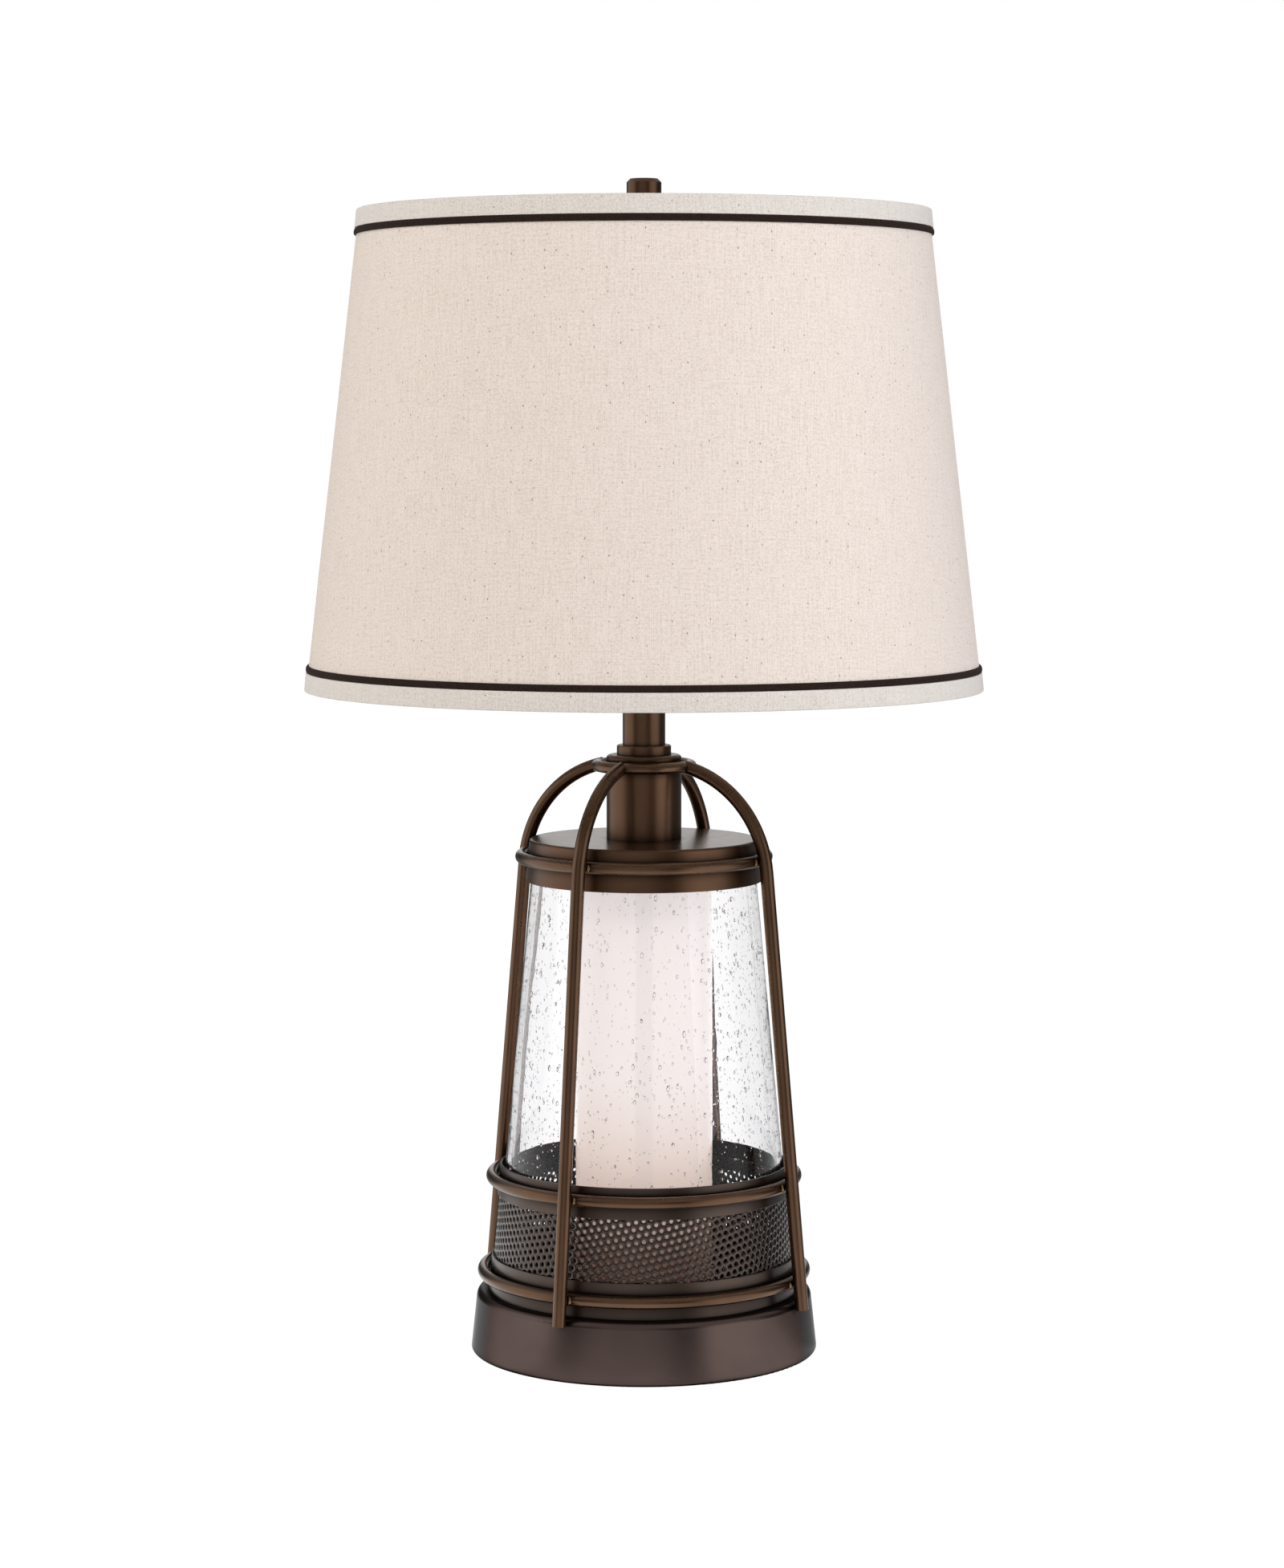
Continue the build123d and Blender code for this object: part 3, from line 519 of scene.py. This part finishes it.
def turned(name, outline, segments, swell):
    """Closed outline of (radius, height) points turned about the axis, with a flat map in metres."""
    count = len(outline)
    corners, faces, runs = [], [], [0.0]
    for here, after in zip(outline, outline[1:] + outline[:1]):
        runs.append(runs[-1] + hypot(after[0] - here[0], after[1] - here[1]))
    for step in range(segments):
        angle = 2 * pi * step / segments
        for index, (radius, height) in enumerate(outline):
            out = radius + swell(angle, height, index)
            corners.append((out * cos(angle), out * sin(angle), height))
    for step in range(segments):
        near, far = step * count, (step + 1) % segments * count
        for index in range(count):
            after = (index + 1) % count
            faces.append((near + index, far + index, far + after, near + after))
    mesh = bpy.data.meshes.new(name)
    mesh.from_pydata(corners, [], faces)
    cloth = mesh.uv_layers.new(name="cloth")
    for face, polygon in enumerate(mesh.polygons):
        step, index = divmod(face, count)
        around = outline[index][0] * 2 * pi / segments
        places = ((step, index), (step + 1, index), (step + 1, index + 1), (step, index + 1))
        for loop, (turn, along) in zip(polygon.loop_indices, places):
            cloth.data[loop].uv = (turn * around, runs[along])
    return mesh


def softened(corners, steps):
    """Outline whose corners, each a radius, a height and a rounding, turn into short curves."""
    line = []
    for index, (radius, height, soft) in enumerate(corners):
        here = Vector((radius, height))
        before = (Vector(corners[index - 1][:2]) - here).normalized() * soft
        after = (Vector(corners[(index + 1) % len(corners)][:2]) - here).normalized() * soft
        for step in range(steps + 1 if soft else 1):
            share = step / steps
            line.append(tuple(here + before * (1 - share) ** 2 + after * share**2))
    return line


def unevenness(seed, fine, size):
    """Small seeded unevenness of a turned cloth edge."""
    up_scale = 90

    def swell(angle, height, index):
        where = Vector((cos(angle) * fine, sin(angle) * fine, height * up_scale + seed))
        return noise.noise(where) * size

    return swell


def felt_pad(material):
    """Felt pad with a soft rim under the base."""
    low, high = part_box("base_felt_pad")
    corners = [
        (felt_bore, low.z, 0),
        (high.x, low.z, felt_rounding),
        (high.x, high.z, felt_rounding),
        (felt_bore, high.z, 0),
    ]
    rough = unevenness(seed=3.0, fine=25, size=0.00025)
    mesh = smoothed(turned("felt_pad", softened(corners, steps=5), segments=144, swell=rough))
    piece("felt_pad", mesh, [material], "lamp", ["base_felt_pad"])


def shade_linen(linen, lining):
    """The shade's tapered panel: linen outside, white lining inside, lapped at the back."""
    low, high = panel_low.z, panel_high.z
    apex = panel_radius(high) / shade_slope + high
    squeeze = sin(shade_taper)
    facing = camera_azimuth - pi / 2
    corners, faces, flat = [], [], []

    def level(row):
        return low + (high - low) * row / panel_rows

    for side in (0.0, panel_thickness):
        for row in range(panel_rows + 1):
            height = level(row)
            rim = min(height - low, high - height)
            ease = min(1.0, max(0.0, (rim - panel_rim) / panel_rim_ease))
            for step in range(panel_segments):
                angle = 2 * pi * step / panel_segments
                at_back = abs((angle - facing) % (2 * pi) - pi) < lap_half_angle
                lap = lap_rise if at_back and side == 0.0 else 0.0
                around = Vector((cos(angle), sin(angle), 0)) * panel_waves_round
                wave = panel_wave * noise.noise(around + upward * height * panel_waves_up)
                out = panel_radius(height) - side + ease * (wave + lap)
                corners.append((out * cos(angle), out * sin(angle), height))

    def corner(side, row, step):
        return (side * (panel_rows + 1) + row) * panel_segments + step % panel_segments

    for side, first, second in ((0, 0, 1), (1, 1, 0)):
        for row in range(panel_rows):
            for step in range(panel_segments):
                faces.append((
                    corner(side, row, step + first),
                    corner(side, row, step + second),
                    corner(side, row + 1, step + second),
                    corner(side, row + 1, step + first),
                ))
                flat.append(None if side else (row, step))
    for step in range(panel_segments):
        for near, far, row in ((1, 0, 0), (0, 1, panel_rows)):
            faces.append((
                corner(near, row, step),
                corner(near, row, step + 1),
                corner(far, row, step + 1),
                corner(far, row, step),
            ))
            flat.append(None)
    mesh = bpy.data.meshes.new("shade_linen")
    mesh.from_pydata(corners, [], faces)
    cloth = mesh.uv_layers.new(name="cloth")
    turn = 2 * pi / panel_segments * squeeze
    sides = ((0, -0.5), (0, 0.5), (1, 0.5), (1, -0.5))
    for polygon, where in zip(mesh.polygons, flat):
        polygon.material_index = 0 if where else 1
        if where is None:
            continue
        row, step = where
        angle = 2 * pi * (step + 0.5) / panel_segments
        middle = ((angle - facing + pi) % (2 * pi) - pi) * squeeze
        for loop, (up, side) in zip(polygon.loop_indices, sides):
            reach = (apex - level(row + up)) / cos(shade_taper)
            spread = middle + side * turn
            cloth.data[loop].uv = (reach * sin(spread), -reach * cos(spread))
    smoothed(mesh, sharp=50)
    return piece("shade_linen", mesh, [linen, lining], "shade", ["shade_panel"])


def shade_hem(name, node, rolled_top, material):
    """Folded tape over one edge of the shade and round the wire inside it."""
    low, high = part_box(node)
    edge, free, inward = (high.z, low.z, -1) if rolled_top else (low.z, high.z, 1)
    fold = edge + inward * hem_thickness
    lip = fold + inward * hem_lip
    wire_room = shade_wire + 2 * fit_gap
    tightest = min(panel_radius(fold), panel_radius(fold + inward * wire_room / 2))
    inner = tightest - panel_thickness - wire_room
    soft = hem_thickness * hem_fold_share
    corners = [
        (panel_radius(free) + fit_gap, free, hem_edge),
        (panel_radius(free) + hem_standoff, free, hem_free_edge),
        (panel_radius(fold) + hem_standoff, edge, soft),
        (inner - hem_thickness, edge, soft),
        (inner - hem_thickness, lip, hem_edge),
        (inner, lip, hem_edge),
        (inner, fold, hem_edge),
        (panel_radius(fold) + fit_gap, fold, hem_edge),
    ]
    if not rolled_top:
        corners.reverse()
    rough = unevenness(seed=len(name), fine=22, size=0.00012)
    outline = softened(corners, steps=4)
    mesh = smoothed(turned(name, outline, segments=360, swell=rough), sharp=50)
    return piece(name, mesh, [material], "shade", [node])


def shade_piping(name, node, material):
    """Dark welt that stands a little proud where a hem meets the panel."""
    low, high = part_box(node)
    middle = (low.z + high.z) / 2
    half = (high.z - low.z) / 2
    reach = high.x - panel_radius(middle) - 2 * fit_gap
    outline = []
    for step in range(welt_steps + 1):
        angle = -pi / 2 + pi * step / welt_steps
        height = middle + half * sin(angle)
        proud = max(0.0, cos(angle)) ** welt_fullness * reach
        outline.append((panel_radius(height) + fit_gap + proud, height))
    for step in range(1, 4):
        height = middle + half * (1 - step / 2)
        outline.append((panel_radius(height) + fit_gap - welt_back_ease, height))
    rough = unevenness(seed=len(name) * 2.0, fine=160, size=0.00016)
    mesh = smoothed(turned(name, outline, segments=720, swell=rough), sharp=60)
    return piece(name, mesh, [material], "shade", [node])


def bubble_form(detail):
    """Corners and faces of one small closed bubble, facing into its hollow."""
    tools = bmesh.new()
    bmesh.ops.create_icosphere(tools, subdivisions=detail, radius=1.0)
    corners = [corner.co.copy() for corner in tools.verts]
    faces = [tuple(corner.index for corner in reversed(face.verts)) for face in tools.faces]
    tools.free()
    return corners, faces


def glass_bubbles(low, high):
    """Mesh of bubbles drawn out along the glass, each shut inside the wall."""
    fine_form, full_form = bubble_form(1), bubble_form(2)
    corners, faces = [], []
    chance = random.Random(bubble_seed)
    made = 0
    while made < bubble_count:
        height = chance.uniform(low, high)
        if chance.random() * glass_radius(low) > glass_radius(height):
            continue
        made += 1
        angle = chance.uniform(0, 2 * pi)
        width = min(bubble_most, bubble_usual * chance.lognormvariate(0.0, bubble_spread))
        length = width * chance.uniform(*bubble_stretch)
        depth = min(width, glass_wall / 2 - bubble_skin)
        spare = glass_wall / 2 - bubble_skin - depth
        middle = glass_radius(height) - glass_wall / slant / 2 + chance.uniform(-spare, spare)
        out = Vector((cos(angle), sin(angle), 0))
        side = Vector((-sin(angle), cos(angle), 0))
        up = (upward - out * slope).normalized()
        away = side.cross(up)
        centre = out * middle + upward * height
        tail = chance.uniform(0.0, bubble_tail)
        form, form_faces = fine_form if width < bubble_fine else full_form
        first = len(corners)
        for corner in form:
            pinch = 1.0 - tail * max(0.0, corner.z)
            across = side * corner.x * width * pinch
            inward = away * corner.y * depth * pinch
            corners.append(centre + across + inward + up * corner.z * length)
        faces += [tuple(first + index for index in face) for face in form_faces]
    mesh = bpy.data.meshes.new("glass_bubbles")
    mesh.from_pydata(corners, [], faces)
    for polygon in mesh.polygons:
        polygon.material_index = 1
    return mesh


def lantern_glass(wall, seed):
    """The tapered glass: slightly wavy walls with drawn-out bubbles shut inside them."""
    low, high = glass_low.z, glass_high.z
    heights = [low + (high - low) * row / glass_rows for row in range(glass_rows + 1)]
    across = glass_wall / slant
    outline = [(glass_radius(height), height) for height in heights]
    outline += [(radius - across, height) for radius, height in reversed(outline)]

    def waves(angle, height, index):
        shift = glass_inner_shift if index > glass_rows else 0.0
        around = glass_waves_round
        where = Vector((cos(angle) * around, sin(angle) * around, height * glass_waves_up + shift))
        rim = min(1.0, min(height - low, high - height) / glass_wave_rim)
        return noise.noise(where) * glass_wave * rim

    mesh = turned("lantern_glass", outline, glass_segments, waves)
    bubbles = glass_bubbles(low + bubble_margin, high - bubble_margin)
    tools = bmesh.new()
    tools.from_mesh(mesh)
    tools.from_mesh(bubbles)
    tools.to_mesh(mesh)
    tools.free()
    bpy.data.meshes.remove(bubbles)
    smoothed(mesh, sharp=60)
    piece("lantern_glass", mesh, [wall, seed], "lamp", ["seedy_glass"])


def perforated_sheet(material, shaded_inner_look):
    """The band's sheet with its fine holes, on a slanted triangular grid that closes round it."""
    middle = (band_low.z + band_high.z) / 2
    half = (band_high.z - band_low.z) / 2
    reach = 2 * pi * band_radius(middle)
    sixth = pi / 3
    units = sqrt(grid_along**2 + grid_across**2 + grid_along * grid_across)
    pitch = reach / units
    tilt = -atan2(grid_across * sin(sixth), grid_along + grid_across * cos(sixth))
    along = Vector((cos(tilt), sin(tilt))) * pitch
    across = Vector((cos(tilt + sixth), sin(tilt + sixth))) * pitch
    tools = bmesh.new()

    def corner(flat):
        height = middle + min(max(flat.y, -half), half)
        angle = 2 * pi * flat.x / reach
        out = band_radius(height)
        return tools.verts.new((out * cos(angle), out * sin(angle), height))

    def cell(centre):
        """Adds the sheet's part round one grid point: pierced, or whole along the borders."""
        ways, rim = [], []
        for index in range(hole_corners):
            turn = tilt + sixth / 2 + 2 * pi * index / hole_corners
            far = pitch / sqrt(3) if index % 2 == 0 else pitch / 2
            ways.append(Vector((cos(turn), sin(turn))))
            rim.append(corner(centre + ways[-1] * far))
        if abs(centre.y) > half - hole_radius * hole_border:
            tools.faces.new(rim)
            return
        edge = [corner(centre + way * hole_radius) for way in ways]
        for index in range(hole_corners):
            after = (index + 1) % hole_corners
            tools.faces.new((rim[index], rim[after], edge[after], edge[index]))

    rows = ceil(half / (pitch * sin(sixth))) + grid_spare_rows
    for up in range(-rows, rows + 1):
        for over in range(-grid_along, 2 * grid_along):
            centre = along * over + across * up
            once_round = 0 <= centre.x < reach - grid_seam_slack
            if once_round and abs(centre.y) <= half + pitch * grid_cell_share:
                cell(centre)
    bmesh.ops.remove_doubles(tools, verts=tools.verts, dist=merge_distance)
    bmesh.ops.dissolve_degenerate(tools, edges=tools.edges, dist=merge_distance)
    mesh = bpy.data.meshes.new("perforated_sheet")
    tools.to_mesh(mesh)
    tools.free()
    smoothed(mesh)
    made = piece(
        "perforated_sheet", mesh, [material, shaded_inner_look], "lamp", ["perforated_band"]
    )
    # The inner face and the hole walls take the second, near-black material: painted shade inside
    # the band
    thick = made.modifiers.new("thickness", "SOLIDIFY")
    thick.thickness = band_thickness
    thick.offset = -1.0
    thick.material_offset = 1
    thick.material_offset_rim = 1


def weld_bead(tools, centre, out, side, up, seed):
    """Adds one lumpy weld bead at a joint between two bars."""
    place = Matrix((side, out, up)).transposed().to_4x4()
    place = Matrix.Translation(centre) @ place @ Matrix.Diagonal((*weld_size, 1.0))
    made = bmesh.ops.create_icosphere(tools, subdivisions=3, radius=1.0, matrix=place)
    for corner in made["verts"]:
        away = corner.co - centre
        lump = noise.noise(away * weld_lump_scale + Vector((seed, 0, 0)))
        corner.co = centre + away * (1 + weld_lumps * lump)


def cage_welds(material):
    """Weld beads on both sides of each leg where it crosses one of the three lower rings."""
    tools = bmesh.new()
    seed = 0.0
    for node in ring_nodes:
        low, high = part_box(node)
        height = (low.z + high.z) / 2
        seat = ring_radius(height) + ring_wire / 2 - weld_sink
        for angle in leg_angles:
            for hand in (-1, 1):
                seed += weld_seed_step
                turn = radians(angle) + hand * (leg_rod / 2 - weld_sink) / seat
                out = Vector((cos(turn), sin(turn), 0))
                side = Vector((-sin(turn), cos(turn), 0))
                up = (upward - out * slope).normalized()
                weld_bead(tools, out * seat + upward * height, out, side, up, seed)
    mesh = bpy.data.meshes.new("cage_welds")
    tools.to_mesh(mesh)
    tools.free()
    piece("cage_welds", smoothed(mesh, sharp=80), [material], "lamp")


def softbox(name, azimuth, distance, height, width, tall, power, tint):
    """Large soft lamp, left out of reflections; azimuth is counted from the camera, rightwards."""
    turn = camera_azimuth + radians(azimuth)
    data = bpy.data.lights.new(name, "AREA")
    data.shape = "RECTANGLE"
    data.size = width
    data.size_y = tall
    data.energy = power
    data.color = tint
    lamp = bpy.data.objects.new(name, data)
    bpy.context.collection.objects.link(lamp)
    lamp.location = (sin(turn) * distance, -cos(turn) * distance, height)
    way = upward * lamp_aim - lamp.location
    lamp.rotation_euler = way.to_track_quat("-Z", "Y").to_euler()
    lamp.visible_glossy = False


def seen_rays(nodes):
    """1 for rays from the camera, from gloss and through glass; 0 for those that only light."""
    path = nodes.node("ShaderNodeLightPath")
    total = path.outputs["Is Camera Ray"]
    for name in ("Is Glossy Ray", "Is Transmission Ray"):
        total = nodes.math("MAXIMUM", total, path.outputs[name], use_clamp=True)
    return total


def brightness(nodes, direction, towards, low, high, start, end):
    """How bright the surroundings are, rising towards one side of the studio."""
    ways = {0: direction, 1: towards}
    facing = nodes.node("ShaderNodeVectorMath", ways, operation="DOT_PRODUCT").outputs["Value"]
    return nodes.span(facing, low, high, start, end, interpolation_type="SMOOTHSTEP")


def pick(nodes, ray, first, second):
    """The second level for one kind of ray, and the first for all others."""
    path = nodes.node("ShaderNodeLightPath")
    return nodes.node("ShaderNodeMix", {0: path.outputs[ray], 2: first, 3: second}).outputs[0]


def studio_level(nodes, place):
    """White in view; through glass white behind the lamp; in gloss dim panels and a lit floor."""
    where = nodes.node("ShaderNodeTexCoord").outputs[place]
    unit = nodes.node("ShaderNodeVectorMath", {0: where}, operation="NORMALIZE")
    direction = unit.outputs["Vector"]
    clear = brightness(nodes, direction, *glass_view)
    reach = nodes.node("ShaderNodeVectorMath", {0: where}, operation="LENGTH").outputs["Value"]
    gloss = nodes.span(reach, floor_glow, 0.0, floor_glow_near, floor_glow_far)
    for lit in gloss_panels:
        gloss = nodes.math("ADD", gloss, brightness(nodes, direction, *lit), use_clamp=True)
    unseen = pick(nodes, "Is Transmission Ray", gloss, clear)
    return pick(nodes, "Is Camera Ray", unseen, 1.0)


def studio_floor():
    """Wide pale floor that stays white in view and keeps the lamp's soft shadow."""
    reach = floor_reach
    corners = [(-reach, -reach, 0), (reach, -reach, 0), (reach, reach, 0), (-reach, reach, 0)]
    mesh = bpy.data.meshes.new("floor")
    mesh.from_pydata(corners, [], [(0, 1, 2, 3)])
    made = bpy.data.objects.new("floor", mesh)
    bpy.context.collection.objects.link(made)
    material = bpy.data.materials.new("studio_floor")
    material.use_nodes = True
    nodes = Nodes(material.node_tree)
    nodes.tree.nodes.clear()
    paper = nodes.node("ShaderNodeBsdfDiffuse", {"Color": grey(floor_paper)})
    shadow = nodes.node("ShaderNodeBsdfDiffuse", {"Color": grey(floor_shadow)})
    shine = {"Color": grey(floor_white), "Strength": studio_level(nodes, "Object")}
    light = nodes.node("ShaderNodeEmission", shine)
    bright = nodes.node("ShaderNodeAddShader", {0: shadow.outputs[0], 1: light.outputs[0]})
    shaders = {0: seen_rays(nodes), 1: paper.outputs[0], 2: bright.outputs[0]}
    mix = nodes.node("ShaderNodeMixShader", shaders)
    nodes.node("ShaderNodeOutputMaterial", {"Surface": mix.outputs[0]})
    mesh.materials.append(material)


def studio_world():
    """White surroundings in view, soft grey where they only light the lamp."""
    world = bpy.data.worlds.new("studio")
    bpy.context.scene.world = world
    world.use_nodes = True
    nodes = Nodes(world.node_tree)
    nodes.tree.nodes.clear()
    dim = {"Color": grey(1.0), "Strength": ambient_strength}
    ambient = nodes.node("ShaderNodeBackground", dim)
    shine = {"Color": grey(1.0), "Strength": studio_level(nodes, "Generated")}
    shown = nodes.node("ShaderNodeBackground", shine)
    shaders = {0: seen_rays(nodes), 1: ambient.outputs[0], 2: shown.outputs[0]}
    mix = nodes.node("ShaderNodeMixShader", shaders)
    nodes.node("ShaderNodeOutputWorld", {"Surface": mix.outputs[0]})


def studio_camera():
    """Camera at the photograph's place, with its lens."""
    data = bpy.data.cameras.new("camera")
    data.sensor_fit = "AUTO"
    data.sensor_width = sensor
    data.lens = sensor * focal_pixels / max(picture_width, picture_height)
    camera = bpy.data.objects.new("camera", data)
    bpy.context.collection.objects.link(camera)
    camera.location = -ahead * camera_distance + left * camera_offset + upward * camera_height
    way = ahead * cos(camera_pitch) - upward * sin(camera_pitch)
    camera.rotation_euler = way.to_track_quat("-Z", "Y").to_euler()
    bpy.context.scene.camera = camera


# Bronzes
bronze = bronze_look(
    "oil_rubbed_bronze",
    dark=(0.06, 0.037, 0.027), warm=(0.092, 0.057, 0.041), rough=0.33, lacquer=0.6,
)
base_bronze = bronze_look(
    "base_bronze",
    dark=(0.092, 0.061, 0.053), warm=(0.115, 0.077, 0.067), rough=0.21, lacquer=0.35, rim=0.1,
)
warm_bronze = bronze_look(
    "warm_bronze",
    dark=(0.104, 0.049, 0.023), warm=(0.138, 0.066, 0.031), rough=0.32, lacquer=0.4,
)
rubbed_bronze = bronze_look(
    "rubbed_bronze",
    dark=(0.05, 0.03, 0.022), warm=(0.064, 0.039, 0.029), rough=0.24, lacquer=0.8,
)
cage_bronze = bronze_look(
    "cage_bronze",
    dark=(0.112, 0.056, 0.028), warm=(0.15, 0.076, 0.038), rough=0.28, lacquer=0.4,
)
weld_bronze = bronze_look(
    "weld_bronze",
    dark=(0.2, 0.115, 0.05), warm=(0.5, 0.31, 0.12), rough=0.34, lacquer=0.2,
)
# Near-black bronze for the band's inside and hole walls: painted shade where the inside of the
# lantern lies in shadow
inner_shade_bronze = bronze_look(
    "inner_painted_shade",
    dark=(0.008, 0.006, 0.005), warm=(0.016, 0.012, 0.01), rough=0.6, lacquer=0.0, metal=0.2,
)

# Other metals
aged_brass = metal_look(
    "aged_brass",
    dark=(0.07, 0.05, 0.022), bright=(0.13, 0.09, 0.04), rough=0.4, stretch=(60, 60, 700),
)
satin_brass = metal_look(
    "satin_brass",
    dark=(0.42, 0.28, 0.11), bright=(0.6, 0.43, 0.2), rough=0.28, stretch=(40, 40, 900),
)
zinc_steel = metal_look(
    "zinc_steel",
    dark=(0.42, 0.42, 0.41), bright=(0.58, 0.58, 0.57), rough=0.3, stretch=(60, 60, 700),
)

# Glass
opal_tube = opal_look(
    "opal_tube",
    white=(0.56, 0.525, 0.512), painted_warm_foot=(0.52, 0.46, 0.425),
    low=tube_low.z, high=tube_high.z, painted_glow=0.44,
)
# The bulb gets a faint painted glow as well; it is no lit lamp here
opal_bulb = opal_look(
    "opal_bulb",
    white=(0.86, 0.85, 0.83), painted_warm_foot=(0.82, 0.8, 0.77),
    low=bulb_low.z, high=bulb_high.z, painted_glow=0.05,
)
seedy_glass = glass_look("seedy_glass", ior=1.47)
seed_bubble = glass_look("seed_bubble", ior=1.33)

# Cloth
linen = weave_look(
    "oatmeal_linen",
    pale=(0.84, 0.742, 0.667), deep=(0.69, 0.582, 0.5),
    pitch=0.0007, turn=0.0, fleck_share=0.45, sheen=0.12,
)
hem_tape = weave_look(
    "bias_tape",
    pale=(0.75, 0.69, 0.63), deep=(0.6, 0.54, 0.48),
    pitch=0.0009, turn=radians(45), fleck_share=0.2, sheen=0.5,
)
piping = piping_look()
lining = lining_look()
felt = felt_look()

# Materials of the solids: by slot, and by node where a node has its own
looks = {
    "bronze": bronze,
    "brass": satin_brass,
    "steel": zinc_steel,
    "iron": casting_look(),
    "black_plastic": plastic_look(),
    "opal_glass": opal_bulb,
    "felt": felt,
    "seedy_glass": seedy_glass,
    "linen": linen,
    "hem_tape": hem_tape,
    "piping": piping,
}
warm_nodes = (
    "glass_cap", "column", "crown_plate", "column_cap", "neck_collar", "neck_tube", "finial"
)
cage_legs = [name for name in frame["nodes"] if name.startswith("cage_leg")]
special = {"inner_tube": opal_tube, "base_pan": base_bronze, "lamp_pipe": aged_brass}
special.update({name: warm_bronze for name in warm_nodes})
special.update({name: cage_bronze for name in ("crown_ring", *ring_nodes, *cage_legs)})
slots = {part["node"]: part["material_slot"] for part in frame["record"]["subparts"]}
for name, node in frame["nodes"].items():
    node.data.materials.clear()
    node.data.materials.append(special.get(name, looks[slots[name]]))

# Pieces
felt_pad(felt)
lantern_glass(seedy_glass, seed_bubble)
perforated_sheet(rubbed_bronze, inner_shade_bronze)
cage_welds(weld_bronze)
panel = shade_linen(linen, lining)
trims = [
    shade_hem("top_hem", "shade_top_hem", True, hem_tape),
    shade_hem("bottom_hem", "shade_bottom_hem", False, hem_tape),
    shade_piping("top_welt", "shade_top_piping", piping),
    shade_piping("bottom_welt", "shade_bottom_piping", piping),
]

# Studio
studio_floor()
studio_world()
studio_camera()
softbox(
    "key", azimuth=-80, distance=1.75, height=0.8, width=1.0, tall=1.5,
    power=11.4, tint=(1.0, 0.98, 0.955),
)
softbox(
    "fill", azimuth=58, distance=1.6, height=0.85, width=0.8, tall=1.6,
    power=13.6, tint=(0.945, 0.985, 1.07),
)
softbox(
    "front", azimuth=-10, distance=2.2, height=1.95, width=1.2, tall=1.0,
    power=23.0, tint=(1.0, 0.985, 0.965),
)
bpy.context.scene.view_settings.view_transform = "Standard"
